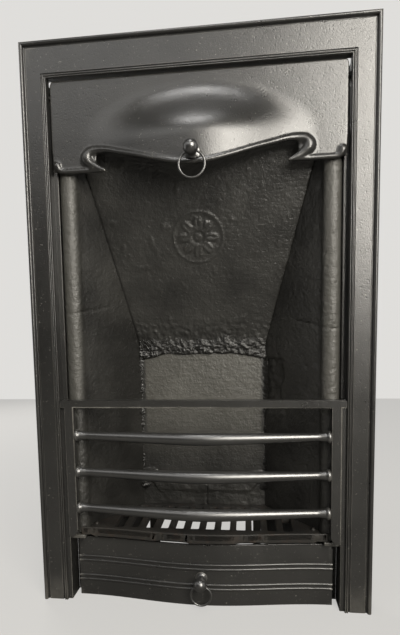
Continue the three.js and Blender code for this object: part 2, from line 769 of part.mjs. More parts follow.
// One fire bar: collars, a body that is thickest in the middle and bows forward, and spigots in the stiles.
function fireBar(level) {
  const end = stileInner - seatGap;
  const bodyHalf = end - collarLength - collarTaper;
  const body = stepsAcross(bodyHalf, BOW_STEPS).map((x) => ({
    x,
    y: stileMiddle - barBow * softV(x / bodyHalf),
    z: level,
    radius: barEndRadius + (barMiddleRadius - barEndRadius) * softV(x / bodyHalf),
  }));
  const collar = (side) => [
    { x: side * (end - collarLength), y: stileMiddle, z: level, radius: collarRadius },
    { x: side * end, y: stileMiddle, z: level, radius: collarRadius },
  ];
  const spigotEnd = stileOuter - seatGap;
  const spigot = (side) => [
    { x: side * (end + seatGap / 2), y: stileMiddle, z: level, radius: spigotRadius },
    { x: side * spigotEnd, y: stileMiddle, z: level, radius: spigotRadius },
  ];
  const stations = [
    ...spigot(-1).reverse(), ...collar(-1).reverse(), ...body, ...collar(1), ...spigot(1),
  ];
  const rings = stations.map((s) => Array.from({ length: BAR_SIDES }, (_, k) => {
    const turn = (2 * Math.PI * k) / BAR_SIDES;
    return new THREE.Vector3(s.x, s.y + s.radius * Math.cos(turn), s.z + s.radius * Math.sin(turn));
  }));
  return loft(rings);
}

// Inner face of a cheek brick at a given depth; side is -1 on the left and 1 on the right.
const cheekRearInner = (side) => backHalfWidth + side * brickShift;
function cheekInner(side, y) {
  const along = (y - noseSetback) / (cheekRear - noseSetback);
  return noseInner + (cheekRearInner(side) - noseInner) * along;
}

function grateEdge(side, y) {
  return cheekInner(side, y) - brickSideGap;
}

// Bottom grate: slotted plate between the cheeks, with a bowed lip across the front.
function bottomGrate() {
  const bowFront = (x) => grateFrontSetback - grateBow * serpentine(x / grateHalfWidth);
  const front = stepsAcross(grateHalfWidth, BOW_STEPS).map((x) => [x, bowFront(x)]);
  const shoulder = brickFront - seatGap;
  const rear = backFront - seatGap;
  const corner = noseSetback;
  const outline = [
    ...front,
    [grateHalfWidth, shoulder], [noseInner - brickSideGap, shoulder], [grateEdge(1, corner), corner],
    [grateEdge(1, rear), rear], [-grateEdge(-1, rear), rear],
    [-grateEdge(-1, corner), corner], [-noseInner + brickSideGap, shoulder], [-grateHalfWidth, shoulder],
  ];
  const lipBack = front.map(([x, y]) => [x, Math.min(y + lipThickness, shoulder)]).reverse();
  let grate = join(slabUp(outline, grateTop - grateThickness, grateTop),
    slabUp([...front, ...lipBack], lipBottom, lipTop));
  for (let i = 0; i < slotCount; i += 1) {
    const x = (i - (slotCount - 1) / 2) * slotPitch;
    const side = Math.sign(x);
    const reach = Math.abs(x) + slotWidth / 2 + slotMargin;
    const slope = (cheekRearInner(side) - noseInner) / (cheekRear - noseSetback);
    const meets = noseSetback + (reach - noseInner + brickSideGap) / slope;
    const end = Math.min(slotRear, meets);
    grate = cut(grate, block(x - slotWidth / 2, x + slotWidth / 2, slotFront, end,
      grateTop - grateThickness - overrun, grateTop + overrun));
  }
  return join(grate, ball(studRadius, -studHalfSpacing, studSetback, grateTop),
    ball(studRadius, studHalfSpacing, studSetback, grateTop));
}

// Ash cover: bowed plate on the hearth with wings behind it and two pairs of reeds.
const ashFace = (x) => ashSetback - ashBow * serpentine(x / ashHalfWidth);
function ashCover() {
  const stations = stepsAcross(ashHalfWidth, BOW_STEPS);
  const front = stations.map((x) => [x, ashFace(x)]);
  const back = stations.map((x) => [x, ashFace(x) + ashThickness]).reverse();
  let cover = slabUp([...front, ...back], 0, ashHeight);
  for (const side of [-1, 1]) {
    cover = join(cover, block(side * (ashHalfWidth - ashThickness), side * ashHalfWidth, ashSetback + overrun,
      ashSetback + ashWingDepth, 0, ashHeight - ashCornerRadius));
    cover = cut(cover, cornerCutter(side * ashHalfWidth, ashHeight, ashCornerRadius, side, 1, -ashSetback,
      ashSetback + ashWingDepth + overrun));
  }
  const halfSteps = 4;
  for (const level of reedHeights) {
    const rings = stations.map((x) => {
      const rib = Array.from({ length: halfSteps + 1 }, (_, k) => {
        const turn = (Math.PI * k) / halfSteps;
        return new THREE.Vector3(x, ashFace(x) - reedProud * Math.sin(turn),
          level - (reedWidth / 2) * Math.cos(turn));
      });
      const inside = ashFace(x) + ashThickness / 2;
      return [...rib, new THREE.Vector3(x, inside, level + reedWidth / 2), new THREE.Vector3(x, inside,
        level - reedWidth / 2)];
    });
    cover = join(cover, loft(rings));
  }
  const hole = rodY(knobShankRadius + pinGap, ashFace(0) - overrun - reedProud,
    ashFace(0) + ashThickness + overrun, 0, ashKnobHeight);
  return cut(cover, hole);
}

// Cheek brick: rounded nose at the front, splayed inner face, flat back against the back brick.
// Its foot is cut back to leave room for the ash cover and for the ledge that carries the grate.
function cheekBrick(side) {
  const steps = 8;
  const nose = Array.from({ length: steps + 1 }, (_, k) => {
    const turn = (Math.PI * k) / steps;
    return [noseCentre + brickNoseRadius * Math.cos(turn), noseSetback - brickNoseRadius * Math.sin(turn)];
  });
  const rearInner = cheekRearInner(side);
  const outline = [
    ...nose,
    [rearInner, cheekRear],
    [rearInner + cheekRearWidth, cheekRear],
    [brickOuter, noseSetback + cheekOuterStraight],
  ].map(([x, y]) => [side * x, y]);
  const rebateTop = grateTop - grateThickness - seatGap;
  const rebate = block(side * (noseInner - overrun), side * (brickOuter + overrun), brickFront - overrun,
    ashSetback + ashWingDepth + seatGap, -overrun, rebateTop);
  return cut(slabUp(outline, 0, cheekHeight), rebate);
}

function lowerBack() {
  const half = backHalfWidth + backOverlap;
  return block(brickShift - half, brickShift + half, backFront, backRear, bearerTop + seatGap, backTop);
}

// Upper back slab: leans forward between the cheeks and widens with them.
function upperBack() {
  const corner = (side, y, z) => new THREE.Vector3(side * (cheekInner(side, y) - brickSideGap), y, z);
  const ring = (y, z) => [corner(-1, y, z), corner(1, y, z), corner(1, y + slabDeep, z), corner(-1, y + slabDeep, z)];
  return loft([ring(backFront, slabBottom), ring(slabTopFront, slabTop)]);
}

// Seam of fire cement between the back bricks, squeezed out unevenly at the front.
function cementSeam() {
  const waveShares = [0.2, 1, -0.4, 0.7, -0.9, 0.3, 0.9, -0.6, 0.5, -1, 0.1];
  const rearY = backFront + slabThickness;
  const y = backFront - cementReach;
  const inner = (side) => cheekInner(side, backFront) - brickSideGap - cementWave;
  const left = -inner(-1);
  const right = inner(1);
  const front = waveShares.map((share, i) => [
    left + ((right - left) * i) / (waveShares.length - 1), y - cementWave * share,
  ]);
  const rear = [[right - brickThickness, rearY], [left + brickThickness, rearY]];
  return slabUp([...front, ...rear], backTop + seatGap, backTop + seatGap + cementThickness);
}

// Bearer: bar on two legs under the back brick and the rear edge of the grate.
function rearBearer() {
  const left = brickShift - bearerHalfWidth;
  const right = brickShift + bearerHalfWidth;
  const bar = block(left, right, bearerFront, backRear, bearerTop - bearerThickness, bearerTop);
  const legTop = bearerTop - bearerThickness + overrun;
  return join(bar,
    block(left, left + bearerLegWidth, backFront, backRear, 0, legTop),
    block(right - bearerLegWidth, right, backFront, backRear, 0, legTop));
}

// Bent strap from one flange of the plate round the back of the bricks to the other. It bends first where
// the cheeks end, then runs in to rearHalf on each side, and passes behind the bricks at the setback rear.
function brickStrap(level, rearHalf, rear) {
  const seat = stripOuter + seatGap;
  const start = strapScrewSetback - strapHeight / 2;
  const cheekCorner = (side) => cheekRearInner(side) + cheekRearWidth + brickSideGap;
  const easing = strapThickness / 3;
  const inside = (side) => [
    [side * seat, start],
    [side * seat, strapBendSetback],
    [side * cheekCorner(side), cheekRear + brickSideGap],
    [side * rearHalf(side), rear],
  ];
  const outside = (side) => [
    [side * (seat + strapThickness), start],
    [side * (seat + strapThickness), strapBendSetback + easing],
    [side * (cheekCorner(side) + strapThickness), cheekRear + easing],
    [side * rearHalf(side), rear + strapThickness],
  ];
  const outline = [...inside(1), ...inside(-1).reverse(), ...outside(-1), ...outside(1).reverse()];
  let strap = slabUp(outline, level - strapHeight / 2, level + strapHeight / 2);
  for (const side of [-1, 1]) {
    strap = cut(strap, rodX(screwRadius + pinGap, side * (seat - overrun),
      side * (seat + strapThickness + overrun), strapScrewSetback, level));
  }
  return strap;
}

function strapScrew(side, level) {
  const face = stripOuter + seatGap + strapThickness + seatGap;
  const head = rodX(screwHeadRadius, side * face, side * (face + screwHeadHeight), strapScrewSetback, level);
  const shank = rodX(screwRadius, side * (stripInner + pinGap), side * (face + overrun),
    strapScrewSetback, level);
  return join(head, shank);
}

const lowerStrapRear = backRear + seatGap;
const lowerStrapHalf = (side) => backHalfWidth + backOverlap + side * brickShift + seatGap;
const slabRearAt = (z) => backFront + slabDeep - (z - slabBottom) * Math.tan(slabLean);
const upperStrapRear = Math.max(cheekRear + brickSideGap,
  slabRearAt(upperStrapLevel - strapHeight / 2) + seatGap);
const upperStrapHalf = (side) => cheekRearInner(side) + cheekRearWidth - strapCornerGap;

const hoodKnobFace = hoodFace(0, hoodKnobHeight);

// Knob of the hood: its flange is hollowed underneath to sit over the rim's bead.
function hoodKnob() {
  const [rim] = onHood(rimPath, 1);
  const saddle = rodX(rim.radius + rimSaddleRoom, -hoodKnobFlange - overrun, hoodKnobFlange + overrun,
    rim.y, rim.z);
  return cut(knob(hoodKnobFace, hoodKnobHeight, hoodWall, hoodKnobFlange, hoodEyeDrop), saddle);
}

const ashKnobFace = ashFace(0);

// The whole is centred over its footprint: from the front of the hood's knob to the rear of the lower strap.
const frontReach = hoodKnobFace - knobBallReach - knobBallRadius;
const rearReach = lowerStrapRear + strapThickness;
const fireplace = new THREE.Group();
const assembly = new THREE.Group();
assembly.position.set(0, -(frontReach + rearReach) / 2, 0);
fireplace.add(assembly);

function place(name, shape, finish) {
  const mesh = new THREE.Mesh(geometryOf(shape), new THREE.MeshStandardMaterial(finish));
  mesh.name = name;
  assembly.add(mesh);
}

place('front_frame', frontFrame(), iron);
place('hood_canopy', hoodCanopy(), iron);
place('hood_knob', hoodKnob(), ironPolished);
place('hood_knob_nut', knobNut(hoodKnobFace, hoodKnobHeight, hoodWall), ironRough);
place('hood_ring', dropRing(hoodKnobFace, hoodKnobHeight - hoodEyeDrop, hoodRingRadius), ironPolished);
place('fire_front', fireFront(), iron);
barHeights.forEach((level, i) => place(barNames[i], fireBar(level), ironPolished));
place('bottom_grate', bottomGrate(), ironRough);
place('ash_cover', ashCover(), iron);
place('ash_knob', knob(ashKnobFace, ashKnobHeight, ashThickness, ashKnobFlange, ashEyeDrop),
  ironPolished);
place('ash_knob_nut', knobNut(ashKnobFace, ashKnobHeight, ashThickness), ironRough);
place('ash_ring', dropRing(ashKnobFace, ashKnobHeight - ashEyeDrop, ashRingRadius), ironPolished);
place('back_brick_lower', lowerBack(), brick);
place('back_brick_upper', upperBack(), brick);
place('fire_cement_seam', cementSeam(), cement);
place('rear_bearer', rearBearer(), ironRough);
place('brick_strap_lower', brickStrap(lowerStrapLevel, lowerStrapHalf, lowerStrapRear), ironRough);
place('brick_strap_upper', brickStrap(upperStrapLevel, upperStrapHalf, upperStrapRear), ironRough);
for (const [side, hand] of [[-1, 'left'], [1, 'right']]) {
  place(`cheek_brick_${hand}`, cheekBrick(side), brick);
  place(`hood_hook_${hand}`, hoodHook(side), ironRough);
  place(`hood_hook_screw_${hand}`, hookScrew(side), ironRough);
  place(`strap_screw_lower_${hand}`, strapScrew(side, lowerStrapLevel), ironRough);
  place(`strap_screw_upper_${hand}`, strapScrew(side, upperStrapLevel), ironRough);
}

export default fireplace;
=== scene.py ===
"""Cast-iron bedroom fireplace insert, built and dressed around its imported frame.

Lengths are in metres. X runs to the right, Y into the wall and Z up. Depths are measured from the flat face
of the front plate, whose Y is read from the frame.
"""

import logging
import math
from dataclasses import dataclass, field
from enum import Enum
from typing import Callable, Iterator, Sequence

import bmesh
import bpy
from mathutils import Matrix, Vector, noise


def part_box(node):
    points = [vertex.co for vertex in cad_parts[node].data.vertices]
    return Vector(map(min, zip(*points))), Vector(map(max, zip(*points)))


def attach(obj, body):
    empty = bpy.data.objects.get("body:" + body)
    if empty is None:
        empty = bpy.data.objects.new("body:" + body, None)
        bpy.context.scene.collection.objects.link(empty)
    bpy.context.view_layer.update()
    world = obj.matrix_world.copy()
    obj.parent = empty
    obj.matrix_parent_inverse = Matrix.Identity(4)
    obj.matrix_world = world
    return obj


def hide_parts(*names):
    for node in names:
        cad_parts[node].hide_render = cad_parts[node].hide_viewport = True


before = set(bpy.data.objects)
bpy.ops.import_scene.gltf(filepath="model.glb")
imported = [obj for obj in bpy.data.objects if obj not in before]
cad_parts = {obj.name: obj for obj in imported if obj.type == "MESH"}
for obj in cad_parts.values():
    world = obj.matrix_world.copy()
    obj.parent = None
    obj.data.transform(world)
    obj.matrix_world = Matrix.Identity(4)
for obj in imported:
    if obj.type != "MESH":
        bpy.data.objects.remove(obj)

log = logging.getLogger("fireplace")
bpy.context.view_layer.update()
MM = 0.001
SHARP = math.radians(38)
QUARTER = math.pi / 2
WARM_WHITE = (1.0, 0.985, 0.955, 1)
Socket = bpy.types.NodeSocket
Colour = tuple[float, float, float]
Push = Callable[[Vector, Vector], float]


class Body(Enum):
    """The bodies that pieces ride on."""

    ROOT = "root"
    HOOD = "hood"
    HOOD_RING = "hood_drop_ring"
    BARS = "front_bars"
    GRATE = "grate"
    ASH = "ash_front"
    ASH_RING = "ash_drop_ring"


class Side(Enum):
    """The left and right hand of the fireplace, as a sign along X."""

    LEFT = -1
    RIGHT = 1

    @property
    def hand(self) -> str:
        """Word for the side, as piece names have it."""
        return self.name.lower()


@dataclass(frozen=True)
class Plan:
    """Places that several sub-assemblies share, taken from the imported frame.

    Args:
        face: Y of the flat face of the front plate.
        half: half the plate's width.
        height: height of the plate.
    """

    face: float
    half: float
    height: float
    lip_height: float = 4 * MM
    side_band: float = 44.5 * MM
    top_band: float = 60 * MM
    plate: float = 7 * MM
    flange_depth: float = 42 * MM
    strip: float = 7.5 * MM
    seat: float = 0.3 * MM

    @classmethod
    def from_frame(cls) -> "Plan":
        """Reads the plate's box.

        Returns:
            The plan of this fireplace.
        """
        low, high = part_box("front_frame")
        return cls(face=low.y + cls.lip_height, half=high.x, height=high.z)

    @property
    def opening_half(self) -> float:
        """Half width of the opening."""
        return self.half - self.side_band

    @property
    def opening_top(self) -> float:
        """Height of the opening's top edge."""
        return self.height - self.top_band

    @property
    def strip_inner(self) -> float:
        """Distance from the middle to the inner face of the inner flange."""
        return self.opening_half - self.strip

    def at(self, x: float, depth: float, z: float) -> Vector:
        """Point at a depth behind the plate's face.

        Args:
            x: distance to the right of the middle.
            depth: distance behind the face of the plate.
            z: height over the hearth.

        Returns:
            The point in the shared frame.
        """
        return Vector((x, self.face + depth, z))


def serpentine(share: float) -> float:
    """Soft wave that is 1 in the middle and 0 from one outwards."""
    return (1 + math.cos(math.pi * min(abs(share), 1))) / 2


def soft_v(share: float, softness: float = 0.35) -> float:
    """Blunt V that is 1 in the middle and 0 at one."""
    rise = lambda t: math.hypot(t, softness) - softness
    return 1 - rise(min(abs(share), 1)) / rise(1)


def smooth_step(value: float, start: float, end: float) -> float:
    """Soft step from 0 at start to 1 at end."""
    t = min(max((value - start) / (end - start), 0), 1)
    return t * t * (3 - 2 * t)


def across(half: float, steps: int) -> list[float]:
    """Even places from -half to half."""
    return [-half + 2 * half * i / steps for i in range(steps + 1)]


def rough(point: Vector, size: float, octaves: int = 3, seed: float = 0.0) -> float:
    """Fractal noise with lumps of a given size.

    Args:
        point: where it is read.
        size: size of the largest lumps.
        octaves: how many finer layers it has.
        seed: offset that gives another pattern.

    Returns:
        A value around 0, mostly between -1 and 1.
    """
    return noise.fractal(point / size + Vector((seed, seed, seed)), 1.0, 2.0, octaves)


# Finishes


class Recipe:
    """Short way to lay out the nodes of one material."""

    def __init__(self, name: str) -> None:
        """Starts an empty material.

        Args:
            name: the material's name.
        """
        self.material = bpy.data.materials.new(name)
        self.material.use_nodes = True
        self.tree = self.material.node_tree
        self.tree.nodes.clear()
        self.place = self.add("ShaderNodeTexCoord").outputs["Object"]

    def add(self, kind: str, inputs: dict | None = None, **settings) -> bpy.types.Node:
        """Adds a node.

        Args:
            kind: the node's type.
            inputs: values or sockets for its inputs, by name or number.
            settings: its other settings.

        Returns:
            The node.
        """
        node = self.tree.nodes.new(kind)
        for key, value in settings.items():
            setattr(node, key, value)
        for key, value in (inputs or {}).items():
            if isinstance(value, Socket):
                self.tree.links.new(value, node.inputs[key])
            else:
                node.inputs[key].default_value = value
        return node

    def noise(self, size: float, detail: float = 3, stretch: Vector | None = None,
              rough: float = 0.5) -> Socket:
        """Noise with lumps of a given size in metres.

        Args:
            size: size of the lumps.
            detail: how many finer layers it has.
            stretch: factors that squeeze the pattern along each axis.
            rough: share of each finer layer.

        Returns:
            Its factor.
        """
        place = self.place
        if stretch is not None:
            place = self.add("ShaderNodeMapping", {"Vector": place, "Scale": stretch}).outputs[0]
        node = self.add("ShaderNodeTexNoise", {"Vector": place, "Scale": 1 / size, "Detail": detail,
                                               "Roughness": rough})
        return node.outputs["Fac"]

    def spread(self, value: Socket, low: float, high: float, to_low: float,
               to_high: float) -> Socket:
        """Maps one range to another and holds the ends."""
        return self.add("ShaderNodeMapRange", {0: value, 1: low, 2: high, 3: to_low, 4: to_high}).outputs[0]

    def mix(self, share: Socket | float, first: Socket | Colour, second: Socket | Colour) -> Socket:
        """Mixes two colours.

        Args:
            share: share of the second colour.
            first: colour at a share of 0.
            second: colour at a share of 1.

        Returns:
            The mixed colour.
        """
        node = self.add("ShaderNodeMix", data_type="RGBA")
        for key, value in ((0, share), (6, first), (7, second)):
            if isinstance(value, Socket):
                self.tree.links.new(value, node.inputs[key])
            else:
                node.inputs[key].default_value = (*value, 1) if key else value
        return node.outputs[2]

    def times(self, first: Socket | float, second: Socket | float) -> Socket:
        """Product of two values."""
        return self.add("ShaderNodeMath", {0: first, 1: second}, operation="MULTIPLY").outputs[0]

    def plus(self, first: Socket | float, second: Socket | float) -> Socket:
        """Sum of two values."""
        return self.add("ShaderNodeMath", {0: first, 1: second}, operation="ADD").outputs[0]

    def bump(self, height: Socket, distance: float,
             under: Socket | None = None) -> Socket:
        """Adds relief, on top of the relief under it.

        Args:
            height: pattern of the relief.
            distance: depth of the relief.
            under: relief that it lies on.

        Returns:
            The normal.
        """
        inputs = {"Height": height, "Distance": distance, "Strength": 1.0}
        if under is not None:
            inputs["Normal"] = under
        return self.add("ShaderNodeBump", inputs).outputs[0]

    def convex(self, low: float, high: float) -> Socket:
        """Share that is 1 on outside edges, where hands and brushes rub a surface and where the painted edge
        highlight goes.
        """
        pointed = self.add("ShaderNodeNewGeometry").outputs["Pointiness"]
        return self.spread(pointed, low, high, 0, 1)

    def surface(self, colour: Socket, roughness: Socket, metallic: float, normal: Socket,
                specular: float = 0.5, ior: float = 1.5) -> bpy.types.Material:
        """Ends the recipe in a Principled shader.

        Args:
            colour: base colour.
            roughness: roughness.
            metallic: metalness.
            normal: relief.
            specular: specular level, the same all over.
            ior: index of refraction.

        Returns:
            The material.
        """
        shader = self.add("ShaderNodeBsdfPrincipled", {
            "Base Color": colour, "Roughness": roughness, "Metallic": metallic, "Normal": normal,
            "Specular IOR Level": specular, "IOR": ior})
        self.add("ShaderNodeOutputMaterial", {"Surface": shader.outputs[0]})
        return self.material


@dataclass(frozen=True)
class IronFinish:
    """Black-leaded or bare dark cast iron.

    Args:
        slot: the record's material slot.
        dark: colour of the deeper black.
        light: colour where the polish is thinner.
        worn_and_highlight: colour of edges bared by rubbing, which is also a painted highlight along beads,
            reeds and other edges.
        gloss: roughness where it is polished.
        dull: roughness where it isn't.
        metal: metalness.
        shine: specular level.
        grain: size of the casting grain.
        relief: depth of the casting grain.
        rust: share of rust bloom.
        wear_and_highlight: how strongly edges show rubbing and the painted highlight.
        rust_colour: colour of the rust bloom.
        swell: depth of the broad unevenness.
        ior: index of refraction.
        dust: share of pale specks.
        dust_colour: colour of the pale specks.
    """

    slot: str
    dark: Colour
    light: Colour
    worn_and_highlight: Colour
    gloss: float
    dull: float
    metal: float
    shine: float
    grain: float
    relief: float
    rust: float = 0.0
    wear_and_highlight: float = 0.5
    rust_colour: Colour = (0.07, 0.04, 0.025)
    swell: float = 0.5 * MM
    ior: float = 1.5
    dust: float = 0.0
    dust_colour: Colour = (0.32, 0.31, 0.28)

    def build(self) -> bpy.types.Material:
        """Lays out the material.

        Returns:
            The material.
        """
        recipe = Recipe(self.slot)
        patches = recipe.noise(0.11, 4)
        smears = recipe.noise(0.03, 5, Vector((1.0, 1.0, 0.8)), 0.6)
        grain = recipe.noise(self.grain, 3, rough=0.55)
        blotches = recipe.spread(patches, 0.38, 0.62, 0, 1)
        colour = recipe.mix(blotches, self.dark, self.light)
        # Lighter colour on convex edges: iron bared by rubbing, and a painted highlight along beads, reeds
        # and other edges.
        edge = recipe.times(recipe.convex(0.525, 0.58),
                            recipe.spread(smears, 0.35, 0.6, 0.3 * self.wear_and_highlight, self.wear_and_highlight))
        colour = recipe.mix(edge, colour, self.worn_and_highlight)
        bloom = recipe.noise(0.018, 6, rough=0.65)
        rust = recipe.times(recipe.spread(bloom, 0.52, 0.66, 0, 1), self.rust)
        colour = recipe.mix(rust, colour, self.rust_colour)
        specks = recipe.spread(recipe.noise(4.5 * MM, 3, rough=0.7), 0.665, 0.695, 0, 1)
        colour = recipe.mix(recipe.times(specks, self.dust), colour, self.dust_colour)
        sheen = recipe.spread(recipe.plus(recipe.times(smears, 0.6), recipe.times(patches, 0.4)), 0.35, 0.65,
                              self.gloss, self.dull)
        roughness = recipe.plus(sheen, recipe.plus(recipe.times(rust, 0.3), recipe.times(edge, -0.08)))
        swell = recipe.bump(recipe.noise(0.05, 2), self.swell)
        pits = recipe.add("ShaderNodeTexVoronoi", {"Vector": recipe.place, "Scale": 1 / (self.grain * 4)},
                          feature="F1").outputs["Distance"]
        pitted = recipe.bump(recipe.spread(pits, 0.05, 0.28, 0, 1), self.relief * 0.5, swell)
        normal = recipe.bump(grain, self.relief, pitted)
        return recipe.surface(colour, roughness, self.metal, normal, self.shine, self.ior)


@dataclass(frozen=True)
class BrickFinish:
    """Rough fireclay or fire cement under black stove paint.

    Args:
        slot: the record's material slot.
        dark: colour in the hollows.
        light: colour of the high places.
        gloss: least roughness.
        dull: greatest roughness.
        lump: size of the lumps.
        relief: depth of the lumps.
        brush: direction squeeze of the brush marks.
        chip: colour of small chips in the paint.
        thin: paler colour on the lower brick, and the painted highlight on the noses of the cheeks.
        paler_across: left and right edge of the paler colour on the lower brick.
        paler_heights: where it starts, where it is full, and its top.
        nose_across: distance from the middle over which the noses' painted highlight sets in.
        nose_depth: Y over which it fades.
        nose_foot: heights over which it sets in; below them the noses, shaded by the fire front, keep a tenth
            of it.
        nose_share: greatest share of the noses' painted highlight.
    """

    slot: str
    dark: Colour
    light: Colour
    gloss: float
    dull: float
    lump: float
    relief: float
    brush: tuple[float, float, float] = (0.12, 1.0, 1.0)
    chip: Colour = (0.16, 0.14, 0.115)
    thin: Colour | None = None
    paler_across: tuple[float, float] = (-124 * MM, 112 * MM)
    paler_heights: tuple[float, float, float] = (215 * MM, 330 * MM, 444 * MM)
    nose_across: tuple[float, float] = (203 * MM, 212 * MM)
    nose_depth: tuple[float, float] = (-36 * MM, -24 * MM)
    nose_foot: tuple[float, float] = (335 * MM, 365 * MM)
    nose_share: float = 0.7

    def build(self) -> bpy.types.Material:
        """Lays out the material.

        Returns:
            The material.
        """
        recipe = Recipe(self.slot)
        patches = recipe.noise(0.09, 5)
        strokes = recipe.noise(0.004, 3, Vector(self.brush), 0.6)
        colour = recipe.mix(recipe.spread(patches, 0.36, 0.64, 0, 1), self.dark, self.light)
        if self.thin:
            # Paler colour on the lower brick, fading out towards its foot.
            place = recipe.add("ShaderNodeSeparateXYZ", {0: recipe.place}).outputs
            (left, right), (start, full, top), soft = self.paler_across, self.paler_heights, 5 * MM
            share = recipe.times(recipe.spread(place["X"], left, left + soft, 0, 1),
                                 recipe.spread(place["X"], right, right - soft, 0, 1))
            share = recipe.times(share, recipe.spread(place["Z"], start, full, 0, 1))
            share = recipe.times(share, recipe.spread(place["Z"], top, top - soft, 0, 1))
            streaks = recipe.plus(recipe.times(strokes, 0.5), recipe.times(patches, 0.5))
            share = recipe.times(share, recipe.spread(streaks, 0.3, 0.6, 0.55, 1))
            # Painted highlight: the noses of the cheeks are lighter across their whole width, and much less
            # so below the fire-front rail, where they sit in its shade.
            aside = recipe.add("ShaderNodeMath", {0: place["X"]}, operation="ABSOLUTE").outputs[0]
            nose_highlight = recipe.times(recipe.spread(aside, *self.nose_across, 0, 1),
                                  recipe.spread(place["Y"], *self.nose_depth, self.nose_share, 0))
            nose_highlight = recipe.times(nose_highlight, recipe.spread(place["Z"], *self.nose_foot, 0.1, 1))
            colour = recipe.mix(recipe.plus(share, nose_highlight), colour, self.thin)
        edge = recipe.times(recipe.convex(0.53, 0.62), 0.35)
        colour = recipe.mix(edge, colour, tuple(2 * c for c in self.light))
        flakes = recipe.noise(0.006, 4, rough=0.7)
        chips = recipe.spread(flakes, 0.71, 0.74, 0, 1)
        colour = recipe.mix(chips, colour, self.chip)
        roughness = recipe.spread(recipe.plus(recipe.times(patches, 0.6), recipe.times(strokes, 0.4)), 0.35,
                                  0.65, self.gloss, self.dull)
        if self.thin:
            roughness = recipe.plus(roughness, recipe.times(nose_highlight, 0.14))
        lumps = recipe.bump(recipe.noise(self.lump, 4, rough=0.62), self.relief)
        brushed = recipe.bump(strokes, 0.45 * MM, lumps)
        normal = recipe.bump(recipe.noise(3.2 * MM, 3, rough=0.6), 0.5 * MM, brushed)
        return recipe.surface(colour, roughness, 0.0, normal, 0.85)


FINISHES = (
    IronFinish("black_leaded_iron", (0.019, 0.0186, 0.0178), (0.027, 0.0263, 0.0248), (0.26, 0.25, 0.225),
               0.27, 0.33, 0.0, 0.85, 1.9 * MM, 0.26 * MM, wear_and_highlight=0.75, ior=1.6, dust=0.6),
    IronFinish("polished_black_iron", (0.013, 0.0128, 0.0122), (0.02, 0.0195, 0.0184), (0.24, 0.23, 0.21),
               0.3, 0.37, 0.0, 1.0, 3 * MM, 0.02 * MM, wear_and_highlight=0.5, swell=0.1 * MM, ior=1.85),
    IronFinish("rough_black_iron", (0.022, 0.021, 0.0195), (0.038, 0.035, 0.031), (0.13, 0.12, 0.10),
               0.42, 0.6, 0.0, 0.5, 1.8 * MM, 0.3 * MM, rust=0.3, wear_and_highlight=0.15),
    IronFinish("strap_iron", (0.035, 0.032, 0.029), (0.055, 0.049, 0.042), (0.15, 0.13, 0.11),
               0.5, 0.7, 0.3, 0.5, 1.6 * MM, 0.16 * MM, rust=0.5, wear_and_highlight=0.5),
    IronFinish("screw_steel", (0.10, 0.095, 0.088), (0.16, 0.15, 0.138), (0.34, 0.32, 0.29),
               0.28, 0.45, 0.9, 0.5, 1.2 * MM, 0.06 * MM, rust=0.15, wear_and_highlight=0.7),
    BrickFinish("black_painted_firebrick", (0.02, 0.0195, 0.018), (0.04, 0.039, 0.0355), 0.3, 0.46,
                9 * MM, 1.5 * MM, thin=(0.105, 0.102, 0.09)),
    BrickFinish("fire_cement", (0.007, 0.0067, 0.006), (0.018, 0.0172, 0.0155), 0.22, 0.45, 4.5 * MM,
                1.7 * MM, (0.5, 1.0, 1.0)),
)


class Palette:
    """The finishes of the fireplace, built once and looked up by slot."""

    def __init__(self) -> None:
        """Builds every finish."""
        self.materials = {finish.slot: finish.build() for finish in FINISHES}

    def __getitem__(self, slot: str) -> bpy.types.Material:
        """Material of a slot."""
        return self.materials[slot]


# Bench work on meshes


@dataclass(frozen=True)
class Station:
    """A place on a bead's middle line, and the bead's radius there."""

    place: Vector
    radius: float


def flowing(points: Sequence[Sequence[float]], steps: int) -> list[Vector]:
    """Smooth curve through points of any number of coordinates.

    Args:
        points: the points that it goes through.
        steps: how many steps it takes from one to the next.

    Returns:
        The points of the curve.
    """
    given = [Vector(p) for p in points]
    curve = []
    for i in range(len(given) - 1):
        before, start, end, after = (given[max(i - 1, 0)], given[i], given[i + 1],
                                     given[min(i + 2, len(given) - 1)])
        for k in range(steps):
            t = k / steps
            curve.append((2 * start + (end - before) * t + (2 * before - 5 * start + 4 * end - after) * t * t
                          + (3 * start - before - 3 * end + after) * t ** 3) / 2)
    return curve + [given[-1]]


def verts_of(geometry: Sequence) -> list[bmesh.types.BMVert]:
    """The vertices among what an operator made."""
    return [g for g in geometry if isinstance(g, bmesh.types.BMVert)]


def edges_of(geometry: Sequence) -> list[bmesh.types.BMEdge]:
    """The edges among what an operator made."""
    return [g for g in geometry if isinstance(g, bmesh.types.BMEdge)]


